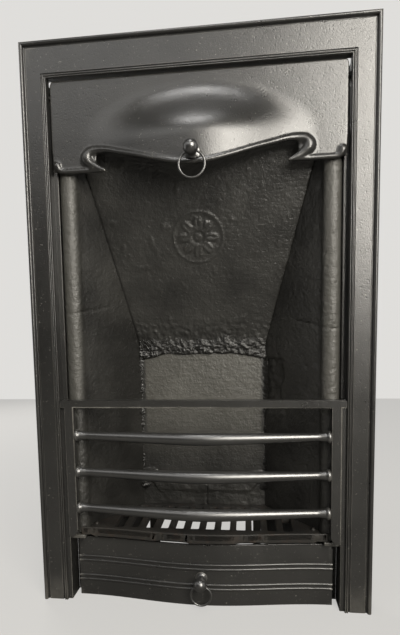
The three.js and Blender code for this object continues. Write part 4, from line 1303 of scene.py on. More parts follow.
@dataclass
class FireFront:
    """Lift-out fire front: rail, two stiles with rounded feet, pegs and three bowed bars."""

    plan: Plan
    strip_height: float = 355 * MM
    rail_gap: float = 1.2 * MM
    rail_height: float = 12.6 * MM
    rail_depth: float = 16 * MM
    proud: float = 4 * MM
    stile: float = 16 * MM
    stile_depth: float = 12 * MM
    stile_gap: float = 1 * MM
    foot: float = 122 * MM
    foot_radius: float = 13 * MM
    rail_corner: float = 3 * MM
    peg_radius: float = 2.2 * MM
    peg_length: float = 12 * MM
    peg_setback: float = 7.4 * MM
    bar_drop: float = 50 * MM
    bar_spacing: float = 65.7 * MM
    bar_end: float = 7 * MM
    bar_middle: float = 10.6 * MM
    bow: float = 24 * MM
    crest: float = 0.2
    spigot: float = 4 * MM
    collar: tuple = ((0, 8.0), (0.7, 9.6), (2.2, 10.5), (4.6, 10.5), (6.4, 9.7), (7.6, 8.6), (9.2, 8.3),
                     (12, 8.0), (16, 7.4), (22, 7.05))

    @property
    def rail_bottom(self) -> float:
        """Height of the rail's lower face."""
        return self.strip_height + self.plan.seat

    @property
    def stile_outer(self) -> float:
        """Distance from the middle to a stile's outer face."""
        return self.plan.strip_inner - self.stile_gap

    @property
    def stile_inner(self) -> float:
        """Distance from the middle to a stile's inner face."""
        return self.stile_outer - self.stile

    @property
    def bar_depth(self) -> float:
        """Depth of the bars' ends."""
        return self.stile_depth / 2 - self.proud

    def casting(self, maker: Maker) -> None:
        """Makes the rail and the stiles as one casting with its pegs."""
        plan = self.plan
        rail_half = plan.opening_half - self.rail_gap
        top = self.rail_bottom + self.rail_height

        def arc(x: float, z: float, radius: float, start: float) -> list[tuple[float, float]]:
            """Points of a quarter round."""
            turns = [start + QUARTER * k / 8 for k in range(9)]
            return [(x + radius * math.cos(turn), z + radius * math.sin(turn)) for turn in turns]

        r, f = self.rail_corner, self.foot_radius
        half = [*arc(rail_half - r, top - r, r, 0)[::-1], (rail_half, self.rail_bottom),
                (self.stile_outer, self.rail_bottom), (self.stile_outer, self.foot),
                *arc(self.stile_inner + f, self.foot + f, f, math.pi)[::-1],
                (self.stile_inner, self.rail_bottom)]
        outline = half + [(-x, z) for x, z in reversed(half)]
        front, rear_rail = Work(), Work()
        front.drawn_out([plan.at(x, -self.proud, z) for x, z in outline], Vector((0, self.stile_depth, 0)))
        rear_rail.block(plan.at(-rail_half, -self.proud + self.stile_depth - MM, self.rail_bottom),
                        plan.at(rail_half, -self.proud + self.rail_depth, top))
        cast = joined("fire_front_casting", front, [rear_rail])
        work = Work()
        work.bm.from_mesh(cast.data)
        bpy.data.objects.remove(cast)
        bmesh.ops.dissolve_limit(work.bm, angle_limit=math.radians(1), verts=work.bm.verts,
                                 edges=work.bm.edges)
        work.soften(1.3 * MM, 4)
        work.relieve(1.2 * MM)
        for side in Side:
            x = side.value * (plan.strip_inner + plan.opening_half) / 2
            work.rod(plan.at(x, self.peg_setback, self.strip_height - self.peg_length),
                     plan.at(x, self.peg_setback, self.rail_bottom + 2 * MM), self.peg_radius)
        maker.hand_over(work.mesh_object("fire_front_casting"), Body.BARS, "black_leaded_iron",
                        ["fire_front"])

    def bar(self, maker: Maker, name: str, level: float) -> None:
        """Makes one bar: collars, a body that swells to the middle and bows forward, and its spigots.

        Args:
            maker: who the piece is handed to.
            name: the CAD node that it stands for.
            level: height of its axis.
        """
        end = self.stile_inner - self.plan.seat
        collar = [(end - s * MM, self.bar_depth, r * MM) for s, r in self.collar]
        body_half = collar[-1][0]
        body = [(x, self.bar_depth - self.bow * soft_v(x / body_half, self.crest),
                 self.bar_end + (self.bar_middle - self.bar_end) * soft_v(x / body_half, self.crest))
                for x in across(body_half, 96)]
        right = [(end, self.bar_depth, self.spigot), *collar[:-1]]
        left = [(-x, depth, r) for x, depth, r in right]
        line = [(-self.stile_outer + MM, self.bar_depth, self.spigot), *left, *body, *reversed(right),
                (self.stile_outer - MM, self.bar_depth, self.spigot)]
        work = Work()
        work.bead([Station(self.plan.at(x, depth, level), r) for x, depth, r in line], 32, False,
                  Vector((0, 0, 1)))
        maker.hand_over(work.mesh_object(f"{name}_bowed"), Body.BARS, "polished_black_iron", [name],
                        math.radians(50))

    def build(self, maker: Maker) -> None:
        """Makes the casting and the three bars."""
        self.casting(maker)
        for i, name in enumerate(("fire_bar_top", "fire_bar_middle", "fire_bar_bottom")):
            self.bar(maker, name, self.rail_bottom - self.bar_drop - i * self.bar_spacing)


@dataclass
class Bricks:
    """Firebricks: two splayed cheeks, upright lower back, leaning upper back, and the cement between them."""

    plan: Plan
    front: float = 12.9 * MM
    side_gap: float = 0.4 * MM
    nose: float = 16 * MM
    splay: float = 82.6 * MM
    shift: float = -6 * MM
    back: float = 150 * MM
    thickness: float = 32 * MM
    cheek_top: float = 800 * MM
    cheek_rear_width: float = 36 * MM
    outer_straight: float = 14 * MM
    arris: float = 0.9 * MM
    rebate: tuple[float, float] = (42.5 * MM, 122.7 * MM)
    back_overlap: float = 25 * MM
    back_foot: float = 123 * MM
    back_top: float = 441 * MM
    cement: float = 5.4 * MM
    slab_top: float = 795 * MM
    slab_thickness: float = 30 * MM
    step: float = 2.6 * MM
    grate_way: float = 160 * MM
    hood_way: float = 700 * MM
    proud: float = 1.3 * MM
    proud_by_grate: float = 0.2 * MM
    proud_by_hood: float = 0.5 * MM
    joint_levels: tuple[float, float] = (516 * MM, 483 * MM)

    @property
    def lean(self) -> float:
        """How far the upper brick leans forward for its height."""
        return (self.back - self.nose_depth - MM) / (self.slab_top - self.back_top - self.cement)

    @property
    def nose_depth(self) -> float:
        """Depth of the nose's middle."""
        return self.front + self.nose

    @property
    def nose_middle(self) -> float:
        """Distance from the middle of the fireplace to the nose's middle."""
        return self.plan.strip_inner - self.nose

    @property
    def cheek_rear(self) -> float:
        """Depth of the cheeks' rear faces."""
        return self.back - self.plan.seat

    def rear_inner(self, side: Side) -> float:
        """Distance from the middle to a cheek's rear inner corner."""
        return self.nose_middle - self.nose - self.splay + side.value * self.shift

    def inner(self, side: Side, depth: float) -> float:
        """Distance from the middle to a cheek's inner face at a depth."""
        share = (depth - self.nose_depth) / (self.cheek_rear - self.nose_depth)
        start = self.nose_middle - self.nose
        return start + (self.rear_inner(side) - start) * share

    def cheek(self, maker: Maker, side: Side) -> None:
        """Makes one cheek with its paint-filled grain, pits, joint and cracks.

        Args:
            maker: who the piece is handed to.
            side: which cheek.
        """
        s, plan = side.value, self.plan
        nose = [(self.nose_middle + self.nose * math.cos(a), self.nose_depth - self.nose * math.sin(a))
                for a in (math.pi * k / 20 for k in range(21))]
        rear = self.rear_inner(side)
        corners = [nose[-1], (rear, self.cheek_rear), (rear + self.cheek_rear_width, self.cheek_rear),
                   (self.nose_middle + self.nose, self.nose_depth + self.outer_straight), nose[0]]
        plan_line = list(nose)
        for (x0, y0), (x1, y1), step in zip(corners, corners[1:], (1, 4, 6, 2)):
            count = max(1, round(math.hypot(x1 - x0, y1 - y0) / (self.step * step)))
            plan_line += [(x0 + (x1 - x0) * k / count, y0 + (y1 - y0) * k / count)
                          for k in range(1, count + 1)]
        work = Work()
        edges = work.wire([plan.at(s * x, y, 0) for x, y in plan_line[:-1]])
        base = list(edges)
        foot = self.rebate[1]
        rows = [foot, *(foot + (self.cheek_top - foot) * (k + 1) / 250 for k in range(250))]
        level = 0.0
        for z in rows:
            made = bmesh.ops.extrude_edge_only(work.bm, edges=edges)["geom"]
            edges = edges_of(made)
            bmesh.ops.translate(work.bm, verts=verts_of(made),
                                vec=Vector((0, 0, z - level)))
            level = z
        bmesh.ops.holes_fill(work.bm, edges=base + edges, sides=0)
        bmesh.ops.recalc_face_normals(work.bm, faces=work.bm.faces)
        work.sculpt(lambda p, n: self.cheek_relief(side, p, n))
        rebate = Work()
        rebate.block(plan.at(s * (self.nose_middle - self.nose - 5 * MM), self.front - 5 * MM, -5 * MM),
                     plan.at(s * (plan.strip_inner + 5 * MM), self.rebate[0], foot))
        brick = joined(f"cheek_{side.hand}", work, (), [rebate])
        maker.hand_over(brick, Body.ROOT, "black_painted_firebrick", [f"cheek_brick_{side.hand}"])

    def cheek_relief(self, side: Side, point: Vector, normal: Vector) -> float:
        """Relief of a cheek: lumps, pits, joint and cracks.

        Args:
            side: which cheek.
            point: where it is read.
            normal: the face's direction there.

        Returns:
            Height of the relief.
        """
        depth = point.y - self.plan.face
        if point.z < self.rebate[1] or depth > self.cheek_rear - 2 * MM or normal.x * side.value > 0.75:
            return 0.0
        edge = min(1, (self.cheek_top - point.z) / (6 * MM))
        near = smooth_step(depth, self.nose_depth + 10 * MM, self.nose_depth)
        lumps = 0.3 * MM * rough(point, 16 * MM, 3) + 0.12 * MM * rough(point, 3.4 * MM, 2, 7)
        waves = 0.6 * MM * rough(Vector((point.x, point.y, 1.6 * point.z)), 6.5 * MM, 3, 12)
        pits = -1.5 * MM * smooth_step(rough(point, 8 * MM, 3, 3), 0.6, 0.85)
        arris = self.arris * math.exp(-((depth - self.nose_depth - MM) / (1.3 * MM)) ** 2)
        arris *= smooth_step(rough(Vector((0, 0, point.z)), 90 * MM, 3, 4), -0.25, 0.1)
        level = self.joint_levels[side is Side.RIGHT]
        joint_at = level + 0.22 * depth + 2.2 * MM * rough(point, 22 * MM, 2)
        reach = smooth_step(depth, 95 * MM, 70 * MM)
        joint = -1.5 * MM * math.exp(-((point.z - joint_at) / (1.7 * MM)) ** 2) * reach
        crumbs = math.exp(-((point.z - joint_at - 6 * MM) / (22 * MM)) ** 2) * near
        crumbs *= 1.4 * MM * smooth_step(rough(point, 6 * MM, 2, 21), 0.35, 0.6)
        gouge = 0.0
        if side is Side.RIGHT:
            rear = smooth_step(depth + 12 * MM * rough(point, 40 * MM, 3, 5), 100 * MM, 108 * MM)
            band = smooth_step(point.z, 318 * MM, 350 * MM) * (1 - smooth_step(point.z, 428 * MM, 433 * MM))
            gouge = -(3.4 + 2.2 * rough(point, 12 * MM, 4, 5)) * MM * rear * band
        proud = self.proud_by_hood if point.z > self.hood_way else self.proud
        if point.z < self.grate_way:
            proud = self.proud_by_grate
        return edge * min(lumps + near * waves + pits + arris + joint + crumbs + gouge, proud)

    def slab(self, work: Work, front: Callable[[float, float], Vector], columns: int, rows: int,
             back: Vector, push: Push) -> None:
        """Brick between a sculpted front face and a plain back.

        Args:
            work: the mesh that takes it.
            front: point of the front face for shares across and up.
            columns: faces across.
            rows: faces up.
            back: way from the front to the back.
            push: relief of the front face.
        """
        verts = work.sheet(columns, rows)
        for vert in verts:
            vert.co = front(vert.co.x + 0.5, vert.co.y + 0.5)
        bmesh.ops.translate(work.bm, verts=work.doubled(), vec=back)
        bmesh.ops.recalc_face_normals(work.bm, faces=work.bm.faces)
        work.sculpt(push, verts)

    def lower_back(self, maker: Maker) -> None:
        """Makes the upright lower brick, smooth above and patched with cement near the grate."""
        plan, work = self.plan, Work()
        half = self.rear_inner(Side.RIGHT) - self.shift + self.back_overlap
        low, high = self.back_foot, self.back_top

        def front(u: float, v: float) -> Vector:
            """Point of the front face for shares across and up."""
            return plan.at(self.shift - half + 2 * half * u, self.back, low + (high - low) * v)

        def relief(point: Vector, normal: Vector) -> float:
            """Height of the relief on the front face.

            Args:
                point: where it is read.
                normal: the face's direction there, which sculpt hands over.

            Returns:
                The height.
            """
            edge = min(1, (high - point.z) / (4 * MM), (point.z - low) / (4 * MM))
            x = abs(point.x - self.shift)
            wander = 9 * MM * rough(Vector((point.x, 0.2, 0)), 40 * MM, 4)
            patch_top = 196 * MM + 12 * MM * smooth_step(x, 70 * MM, 110 * MM) + wander
            patch = 1 - smooth_step(point.z, patch_top - 2.5 * MM, patch_top)
            crack_at = 158 * MM + 0.5 * wander + 22 * MM * smooth_step(x, 88 * MM, 112 * MM)
            below = 1 - smooth_step(point.z, crack_at - 0.8 * MM, crack_at + 0.8 * MM)
            wave = 4 * MM * rough(point, 20 * MM, 3, 2)
            upright = -2.4 * MM * math.exp(-((point.x - wave) / (1.2 * MM)) ** 2)
            plain = 0.2 * MM * rough(point, 18 * MM, 3) + 0.1 * MM * rough(point, 4 * MM, 2, 4)
            cement = (1.4 + 0.9 * rough(point, 13 * MM, 4, 8) - 2.8 * below) * MM + upright
            height = edge * (plain + patch * cement)
            way = smooth_step(point.z, self.grate_way, self.grate_way + 3 * MM)
            return min(height, 0) + way * max(height, 0)

        self.slab(work, front, 150, 170, Vector((0, self.thickness, 0)), relief)
        maker.hand_over(work.mesh_object("lower_back_brick"), Body.ROOT, "black_painted_firebrick",
                        ["back_brick_lower"])

    def rosette(self, across_face: float, up_face: float) -> float:
        """Plain round rosette of eight petals in low relief.

        Args:
            across_face: distance across the slab from the rosette's middle.
            up_face: distance up the slab from the rosette's middle.

        Returns:
            Height of the relief.
        """
        radius = math.hypot(across_face, up_face) / (46 * MM)
        turn = math.atan2(up_face, across_face)
        petal = abs(math.cos(4 * turn))
        edge = 0.30 + 0.52 * petal ** 0.6
        petals = smooth_step(radius, 0.2, 0.3) * (1 - smooth_step(radius, edge - 0.05, edge))
        vein = 1 - 0.55 * math.exp(-((1 - petal) / 0.03) ** 2) * smooth_step(radius, 0.3, 0.4)
        boss = 1 - smooth_step(radius, 0.1, 0.2)
        hoop = math.exp(-((radius - 0.97) / 0.035) ** 2)
        return (1.7 * petals * vein + 1.8 * boss + 1.3 * hoop) * MM

    def upper_back(self, maker: Maker) -> None:
        """Makes the leaning slab with its plain rosette and its rough foot."""
        plan, work = self.plan, Work()
        z0 = self.back_top + self.cement + 2 * plan.seat
        y1 = self.nose_depth + MM
        lean = math.atan2(self.back - y1, self.slab_top - z0)
        up = Vector((0, -math.sin(lean), math.cos(lean)))
        middle = plan.at(self.shift + 2 * MM, self.back, z0) + up * 218 * MM

        def front(u: float, v: float) -> Vector:
            """Point of the front face for shares across and up."""
            depth, z = self.back + (y1 - self.back) * v, z0 + (self.slab_top - z0) * v
            left, right = (side.value * (self.inner(side, depth) - self.side_gap) for side in Side)
            return plan.at(left + (right - left) * u, depth, z)

        def relief(point: Vector, normal: Vector) -> float:
            """Height of the relief on the front face.

            Args:
                point: where it is read.
                normal: the face's direction there, which sculpt hands over.

            Returns:
                The height.
            """
            share = (point.z - z0) / (self.slab_top - z0)
            foot = 1 - smooth_step(share, 0.1, 0.21)
            away = point - middle
            plain = 0.3 * MM * rough(point, 20 * MM, 3, 2) + 0.12 * MM * rough(point, 4 * MM, 2, 9)
            scab = 0.9 * MM * smooth_step(rough(point, 26 * MM, 4, 6), 0.45, 0.75)
            rim = min(1, 40 * share, 40 * (1 - share))
            to_cheek = min(self.inner(side, point.y - plan.face) - side.value * point.x for side in Side)
            plain -= 2.6 * MM * math.exp(-(max(to_cheek, 0) / (2.6 * MM)) ** 2)
            return rim * (plain + scab + 1.7 * MM * foot * rough(point, 8 * MM, 4, 11)
                          + self.rosette(away.x, away.dot(up)))

        deep = Vector((0, self.slab_thickness / math.cos(lean), 0))
        self.slab(work, front, 150, 160, deep, relief)
        maker.hand_over(work.mesh_object("upper_back_slab"), Body.ROOT, "black_painted_firebrick",
                        ["back_brick_upper"])

    def seam(self, maker: Maker) -> None:
        """Makes the cement between the back bricks: a ragged band squeezed out and smeared up the slab."""
        plan, work = self.plan, Work()
        left, right = (side.value * (self.inner(side, self.back) + MM) for side in Side)
        columns, rows = 210, 44
        low, high = self.back_top - 12 * MM, self.back_top + 30 * MM
        for vert in work.sheet(columns, rows):
            u, v = vert.co.x + 0.5, vert.co.y + 0.5
            x = left + (right - left) * u
            ragged = rough(Vector((x, 0.3, 0)), 30 * MM, 5, 2)
            bottom = self.back_top - 1.5 * MM + 4 * MM * ragged
            bottom -= 11 * MM * smooth_step(abs(2 * u - 1), 0.55, 1)
            top = high + 8 * MM * rough(Vector((x, 0.9, 0)), 26 * MM, 4, 5)
            z = bottom + (top - bottom) * v
            lean = max(z - self.back_top - self.cement, 0) * self.lean
            lump = 0.5 + 0.5 * rough(Vector((x, 0.1, z)), 8 * MM, 4, 3)
            proud = (4.5 + 5 * lump) * smooth_step(v, -0.02, 0.07) * (1 - smooth_step(v, 0.1, 1)) ** 0.6
            depth = self.back + 0.8 * MM - lean - proud * MM
            vert.co = plan.at(x, depth, z)
        for vert in work.doubled():
            share = (vert.co.z - low) / (high - low)
            vert.co.y = plan.face + self.back + 3 * MM
            vert.co.z = self.back_top + plan.seat + share * (self.cement - plan.seat)
        maker.hand_over(work.mesh_object("seam_of_cement"), Body.ROOT, "fire_cement", ["fire_cement_seam"],
                        math.radians(60))

    def corner_cement(self, maker: Maker, side: Side) -> None:
        """Makes the ragged fillet of cement between the lower brick and a cheek, over the grate's way.

        Args:
            maker: who the piece is handed to.
            side: which cheek.
        """
        plan, work = self.plan, Work()
        corner = self.inner(side, self.back)
        low, high, reach = self.grate_way + MM, self.back_top - 2 * MM, 7 * MM
        for vert in work.sheet(12, 190):
            u, v = vert.co.x + 0.5, vert.co.y + 0.5
            z = low + (high - low) * v
            spread = 1 + 0.7 * rough(Vector((side.value, 0, z)), 26 * MM, 4, 8)
            spread += 1.3 * (1 - smooth_step(z, low, low + 34 * MM))
            width = reach * max(spread, 0.25) * (0.2 + 0.8 * smooth_step(z, low, low + 9 * MM))
            inward, forward = width * u, width * (1 - u)
            hollow = 0.25 * width * math.sin(math.pi * u)
            lump = 0.9 * MM * rough(Vector((corner, u * width, z)), 5 * MM, 3, 6) * math.sin(math.pi * u)
            depth = self.back + 0.6 * MM - max(forward - hollow + lump, 0)
            x = self.inner(side, depth) + 0.6 * MM - max(inward - hollow + lump, 0)
            vert.co = plan.at(side.value * x, depth, z)
        for vert in work.doubled():
            vert.co = plan.at(side.value * (corner + 2 * MM), self.back + 2 * MM, vert.co.z)
        bmesh.ops.remove_doubles(work.bm, verts=work.bm.verts, dist=1e-6)
        maker.hand_over(work.mesh_object(f"corner_cement_{side.hand}"), Body.ROOT, "fire_cement", (),
                        math.radians(60))

    def build(self, maker: Maker) -> None:
        """Makes all the brickwork."""
        for side in Side:
            self.cheek(maker, side)
        self.lower_back(maker)
        self.upper_back(maker)
        self.seam(maker)
        for side in Side:
            self.corner_cement(maker, side)


@dataclass
class Grate:
    """Lift-out bottom grate: slotted plate with a bowed lip and two small studs."""

    plan: Plan
    bricks: Bricks
    half: float = 219.5 * MM
    setback: float = 10 * MM
    bow: float = 20 * MM
    bottom: float = 123 * MM
    thickness: float = 10 * MM
    lip_bottom: float = 120 * MM
    lip_over: float = 1.5 * MM
    lip: float = 6 * MM
    sag: float = 2.4 * MM
    lifts: tuple = ((-75 * MM, -26 * MM), (68 * MM, 105 * MM))
    lift_soft: float = 9 * MM
    sag_ends: tuple[float, float] = (193 * MM, 202 * MM)
    slots: int = 12
    pitch: float = 27.7 * MM
    slot: float = 16.5 * MM
    slot_front: float = 20 * MM
    slot_rear: float = 132 * MM
    slot_corner: float = 2.5 * MM
    margin: float = 6 * MM
    stud: float = 4 * MM
    stud_at: tuple[float, float] = (196 * MM, 31 * MM)

    def front(self, x: float) -> float:
        """Depth of the lip's front face."""
        return self.setback - self.bow * serpentine(x / self.half)

    def droop(self, x: float) -> float:
        """How far the lip's lower edge hangs down, but for two short lifts and its ends on the ledges.

        Args:
            x: distance to the right of the middle.

        Returns:
            The distance.
        """
        soft = self.lift_soft
        lifted = sum(smooth_step(x, a - soft, a + soft) - smooth_step(x, b - soft, b + soft)
                     for a, b in self.lifts)
        return self.sag * (1 - lifted) * (1 - smooth_step(abs(x), *self.sag_ends))

    def slot_outline(self, x: float) -> list[tuple[float, float]]:
        """Outline of one slot, with corners rounded by the casting.

        Args:
            x: middle of the slot.

        Returns:
            Points of across and depth.
        """
        bricks, side = self.bricks, Side.RIGHT if x > 0 else Side.LEFT
        reach = abs(x) + self.slot / 2 + self.margin
        start = bricks.nose_middle - bricks.nose
        slope = (bricks.rear_inner(side) - start) / (bricks.cheek_rear - bricks.nose_depth)
        end = min(self.slot_rear, bricks.nose_depth + (reach - start + bricks.side_gap) / slope)
        r = self.slot_corner
        left, right = x - self.slot / 2 + r, x + self.slot / 2 - r
        near, far = self.slot_front + r, end - r
        corners = ((right, near, -QUARTER), (right, far, 0), (left, far, QUARTER), (left, near, math.pi))
        return [(cx + r * math.cos(turn + QUARTER * k / 4), cy + r * math.sin(turn + QUARTER * k / 4))
                for cx, cy, turn in corners for k in range(5)]

    def build(self, maker: Maker) -> None:
        """Makes the grate."""
        plan, bricks = self.plan, self.bricks
        shoulder, rear = bricks.front - plan.seat, bricks.back - plan.seat
        front = [(x, self.front(x)) for x in across(self.half, 96)]
        edge = {side: lambda d, side=side: side.value * (bricks.inner(side, d) - bricks.side_gap)
                for side in Side}
        nose = bricks.nose_middle - bricks.nose - bricks.side_gap
        outline = [*front, (self.half, shoulder), (nose, shoulder), (edge[Side.RIGHT](bricks.nose_depth),
                   bricks.nose_depth), (edge[Side.RIGHT](rear), rear), (edge[Side.LEFT](rear), rear),
                   (edge[Side.LEFT](bricks.nose_depth), bricks.nose_depth), (-nose, shoulder),
                   (-self.half, shoulder)]
        slots = [self.slot_outline((i - (self.slots - 1) / 2) * self.pitch) for i in range(self.slots)]
        work, lip = Work(), Work()
        work.drawn_out([plan.at(x, y, self.bottom) for x, y in outline], Vector((0, 0, self.thickness)),
                       [[plan.at(x, y, self.bottom) for x, y in slot] for slot in slots])
        work.soften(0.9 * MM, 2)
        lip_line = [*front, *((x, min(y + self.lip, shoulder)) for x, y in reversed(front))]
        lip_height = self.bottom + self.thickness + self.lip_over - self.lip_bottom
        lip.drawn_out([plan.at(x, y, self.lip_bottom) for x, y in lip_line], Vector((0, 0, lip_height)))
        for vert in lip.bm.verts:
            if vert.co.z < self.bottom:
                vert.co.z -= self.droop(vert.co.x)
        lip.soften(1.6 * MM, 4, math.radians(50))
        grate = joined("slotted_grate", work, [lip])
        studs = Work()
        studs.bm.from_mesh(grate.data)
        bpy.data.objects.remove(grate)
        for side in Side:
            place = plan.at(side.value * self.stud_at[0], self.stud_at[1], self.bottom + self.thickness)
            bmesh.ops.create_uvsphere(studs.bm, u_segments=20, v_segments=12, radius=self.stud,
                                      matrix=Matrix.Translation(place))
        maker.hand_over(studs.mesh_object("slotted_grate"), Body.GRATE, "rough_black_iron", ["bottom_grate"])


@dataclass
class AshCover:
    """Pull-off ash cover: bowed plate on the hearth with two pairs of reeds and wings behind its ends."""

    plan: Plan
    half: float = 228 * MM
    height: float = 112 * MM
    thickness: float = 5 * MM
    bow: float = 21 * MM
    setback: float = 21 * MM
    wing: float = 21.2 * MM
    corner: float = 8 * MM
    reeds: tuple[float, ...] = (30.5 * MM, 38.5 * MM, 67 * MM, 75 * MM)
    reed: float = 5 * MM
    proud: float = 2.4 * MM

    def face(self, x: float) -> float:
        """Depth of the cover's face."""
        return self.setback - self.bow * serpentine(x / self.half)

    def section(self) -> list[tuple[float, float]]:
        """Section of the cover: depth from its face, and height."""
        soft = 1.2 * MM
        front = [(0.0, soft)]
        for level in self.reeds:
            front += [(-self.proud * math.sin(math.pi * k / 10),
                       level - self.reed / 2 * math.cos(math.pi * k / 10)) for k in range(11)]
        front += [(soft * (1 - math.cos(a)), self.height - soft * (1 - math.sin(a)))
                  for a in (QUARTER * k / 4 for k in range(5))]
        back = [(self.thickness - soft * (1 - math.sin(a)), self.height - soft * (1 - math.cos(a)))
                for a in (QUARTER * k / 4 for k in range(5))]
        return front + back + [(self.thickness, soft), (self.thickness - soft, 0), (soft, 0)]

    def build(self, maker: Maker) -> None:
        """Makes the cover."""
        plan, work = self.plan, Work()
        line = self.section()
        stations = across(self.half, 90)
        edges = work.wire([plan.at(stations[0], self.face(stations[0]) + d, z) for d, z in line])
        ends = list(edges)
        for near, far in zip(stations, stations[1:]):
            made = bmesh.ops.extrude_edge_only(work.bm, edges=edges)["geom"]
            edges = edges_of(made)
            bmesh.ops.translate(work.bm, verts=verts_of(made),
                                vec=Vector((far - near, self.face(far) - self.face(near), 0)))
        bmesh.ops.holes_fill(work.bm, edges=ends + edges, sides=0)
        for vert in work.bm.verts:
            past = max(abs(vert.co.x) - self.half + self.corner, 0)
            drop = self.corner - math.sqrt(max(self.corner ** 2 - past ** 2, 0))
            vert.co.z = min(vert.co.z, self.height - drop)
        wings = []
        for side in Side:
            wing = Work()
            wing.block(plan.at(side.value * (self.half - self.thickness), self.setback + MM, 0),
                       plan.at(side.value * (self.half - 0.05 * MM), self.setback + self.wing,
                               self.height - self.corner))
            wing.soften(1 * MM)
            wings.append(wing)
        cover = joined("bowed_ash_cover", work, wings)
        maker.hand_over(cover, Body.ASH, "black_leaded_iron", ["ash_cover"])


class RearIronwork:
    """Hooks, bearer, straps and their screws behind the plate."""

    slots = {
        "rough_black_iron": ("hood_hook_left", "hood_hook_right", "rear_bearer"),
        "strap_iron": ("brick_strap_lower", "brick_strap_upper"),
        "screw_steel": ("hood_hook_screw_left", "hood_hook_screw_right", "strap_screw_lower_left",
                        "strap_screw_lower_right", "strap_screw_upper_left", "strap_screw_upper_right"),
    }

    def build(self, maker: Maker) -> None:
        """Gives the pieces that keep their shape their finish."""
        for slot, nodes in self.slots.items():
            for node in nodes:
                maker.dress_node(node, slot)


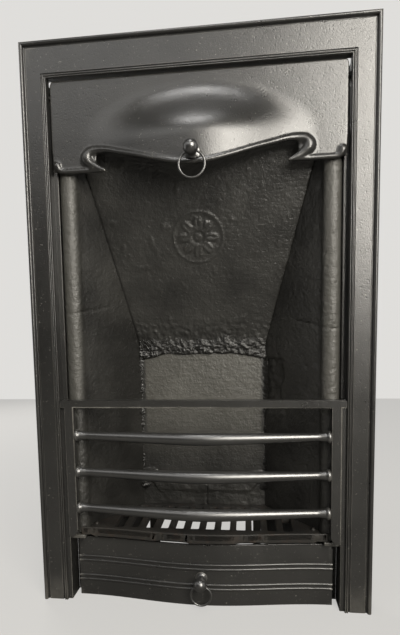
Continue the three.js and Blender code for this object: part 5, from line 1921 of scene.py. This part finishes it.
@dataclass
class Studio:
    """Floor, room and soft lamps, and the camera at the photograph's angle."""

    plan: Plan
    camera_at: Vector = field(default_factory=lambda: Vector((0.08023, -0.89479, 0.48776)))
    right: Vector = field(default_factory=lambda: Vector((0.99263, 0.11980, -0.01841)))
    down: Vector = field(default_factory=lambda: Vector((-0.00616, -0.10183, -0.99478)))
    forward: Vector = field(default_factory=lambda: Vector((-0.12105, 0.98756, -0.10034)))
    lens: float = 28.35
    shift: tuple[float, float] = (0.0236, 0.0989)
    floor_half: float = 2.6
    floor_thickness: float = 0.02
    floor_colour: Colour = (0.15, 0.147, 0.139)
    floor_glow: float = 0.5
    room_pale: float = 0.74
    room_side: float = 0.8
    room_dim: float = 0.012
    room_turn: tuple[float, float] = (0.5, 0.95)
    room_depth: tuple[float, float] = (-0.45, -0.15)

    def camera(self) -> None:
        """Sets the camera."""
        data = bpy.data.cameras.new("camera")
        data.lens, data.sensor_width = self.lens, 36
        data.shift_x, data.shift_y = self.shift
        data.clip_start = 0.02
        made = bpy.data.objects.new("camera", data)
        matrix = Matrix((self.right, -self.down, -self.forward)).transposed().to_4x4()
        matrix.translation = self.camera_at
        made.matrix_world = matrix
        bpy.context.scene.collection.objects.link(made)
        bpy.context.scene.camera = made

    def lamp(self, name: str, place: Vector, target: Vector, size: tuple[float, float], power: float,
             colour: Colour) -> None:
        """Adds a soft lamp.

        Args:
            name: its name.
            place: where it hangs.
            target: where it points.
            size: its width and height.
            power: its power in watts.
            colour: colour of its light.
        """
        data = bpy.data.lights.new(name, "AREA")
        data.shape, data.size, data.size_y, data.energy, data.color = "RECTANGLE", *size, power, colour
        made = bpy.data.objects.new(name, data)
        made.location = place
        made.rotation_mode = "QUATERNION"
        made.rotation_quaternion = (target - place).to_track_quat("-Z", "Y")
        bpy.context.scene.collection.objects.link(made)

    def pale(self, name: str) -> bpy.types.Material:
        """Matt surface that looks pale to the camera and keeps the fireplace's shadow.

        Args:
            name: the material's name.

        Returns:
            The material.
        """
        recipe = Recipe(name)
        rays = recipe.add("ShaderNodeLightPath")
        kinds = {0: rays.outputs["Is Camera Ray"], 1: rays.outputs["Is Transmission Ray"]}
        seen = recipe.add("ShaderNodeMath", kinds, operation="MAXIMUM").outputs[0]
        darker = tuple(0.95 * c for c in self.floor_colour)
        mottle = recipe.mix(recipe.noise(0.3, 3), self.floor_colour, darker)
        shader = recipe.add("ShaderNodeBsdfPrincipled", {
            "Base Color": mottle, "Roughness": 0.9, "Emission Color": WARM_WHITE,
            "Emission Strength": recipe.times(seen, self.floor_glow)})
        recipe.add("ShaderNodeOutputMaterial", {"Surface": shader.outputs[0]})
        return recipe.material

    def floor(self) -> None:
        """Floor under the fireplace, wide enough for a view from any side."""
        work, half = Work(), self.floor_half
        work.block(Vector((-half, -half, -self.floor_thickness)), Vector((half, half, 0)))
        made = work.mesh_object("floor")
        made.data.materials.append(self.pale("floor"))

    def world(self) -> None:
        """Room round the fireplace: pale at both sides and wherever the camera sees it, dim elsewhere."""
        world = bpy.data.worlds.new("room")
        bpy.context.scene.world = world
        world.use_nodes = True
        tree = world.node_tree
        back = tree.nodes["Background"]
        place = tree.nodes.new("ShaderNodeTexCoord").outputs["Generated"]
        split, aside = tree.nodes.new("ShaderNodeSeparateXYZ"), tree.nodes.new("ShaderNodeMath")
        aside.operation = "ABSOLUTE"
        tree.links.new(place, split.inputs[0])
        tree.links.new(split.outputs["X"], aside.inputs[0])
        ramp, reach = tree.nodes.new("ShaderNodeMapRange"), tree.nodes.new("ShaderNodeMapRange")
        for slot, value in zip(range(1, 4), (*self.room_depth, self.room_dim)):
            reach.inputs[slot].default_value = value
        reach.inputs[4].default_value = self.room_side
        for slot, value in zip(range(1, 4), (*self.room_turn, self.room_dim)):
            ramp.inputs[slot].default_value = value
        tree.links.new(split.outputs["Y"], reach.inputs[0])
        tree.links.new(aside.outputs[0], ramp.inputs[0])
        tree.links.new(reach.outputs[0], ramp.inputs[4])
        rays = tree.nodes.new("ShaderNodeLightPath")
        level = ramp.outputs[0]
        for kind in ("Is Camera Ray", "Is Transmission Ray"):
            shown = tree.nodes.new("ShaderNodeMix")
            shown.inputs[3].default_value = self.room_pale
            tree.links.new(rays.outputs[kind], shown.inputs[0])
            tree.links.new(level, shown.inputs[2])
            level = shown.outputs[0]
        back.inputs[0].default_value = WARM_WHITE
        tree.links.new(level, back.inputs[1])

    def build(self) -> None:
        """Sets up everything that isn't part of the fireplace."""
        self.camera()
        self.floor()
        self.world()
        middle = self.plan.at(0, 0, 0.5)
        self.lamp("window", Vector((1.1, -2.0, 1.5)), middle, (1.2, 1.7), 68, (1.0, 0.955, 0.87))
        self.lamp("ceiling", Vector((-0.9, -1.7, 2.0)), middle, (2.2, 1.2), 9, (1.0, 0.985, 0.96))
        self.lamp("fixture", Vector((-0.1, -0.65, 2.3)), middle, (0.6, 0.4), 6, (1.0, 0.985, 0.96))
        self.lamp("rear", Vector((-1.5, 2.0, 1.4)), middle, (1.4, 1.4), 32, (1.0, 0.985, 0.96))
        bpy.context.scene.view_settings.view_transform = "Standard"


def main() -> None:
    """Builds the studio and every sub-assembly."""
    logging.basicConfig(level=logging.INFO, format="%(message)s")
    plan = Plan.from_frame()
    Studio(plan).build()
    maker = Maker(Palette())
    FrontPlate(plan).build(maker)
    hood = Hood(plan)
    hood.build(maker)
    knob_height = hood.rim + 11.6 * MM
    Knob(plan, "hood", (Body.HOOD, Body.HOOD_RING), ("hood_knob", "hood_knob_nut", "hood_ring"),
         hood.face(0, knob_height), knob_height, hood.wall, 12 * MM, 20.1 * MM, 0.4 * MM,
         (hood.rim_radius + 1.4 * MM, hood.rim)).build(maker)
    FireFront(plan).build(maker)
    bricks = Bricks(plan)
    bricks.build(maker)
    Grate(plan, bricks).build(maker)
    ash = AshCover(plan)
    ash.build(maker)
    Knob(plan, "ash", (Body.ASH, Body.ASH_RING), ("ash_knob", "ash_knob_nut", "ash_ring"), ash.face(0),
         52.5 * MM, ash.thickness, 10.5 * MM, 17.8 * MM, 8.7 * MM).build(maker)
    RearIronwork().build(maker)
    log.info("%d triangles in new pieces", maker.faces)


if __name__ == "__main__":
    main()
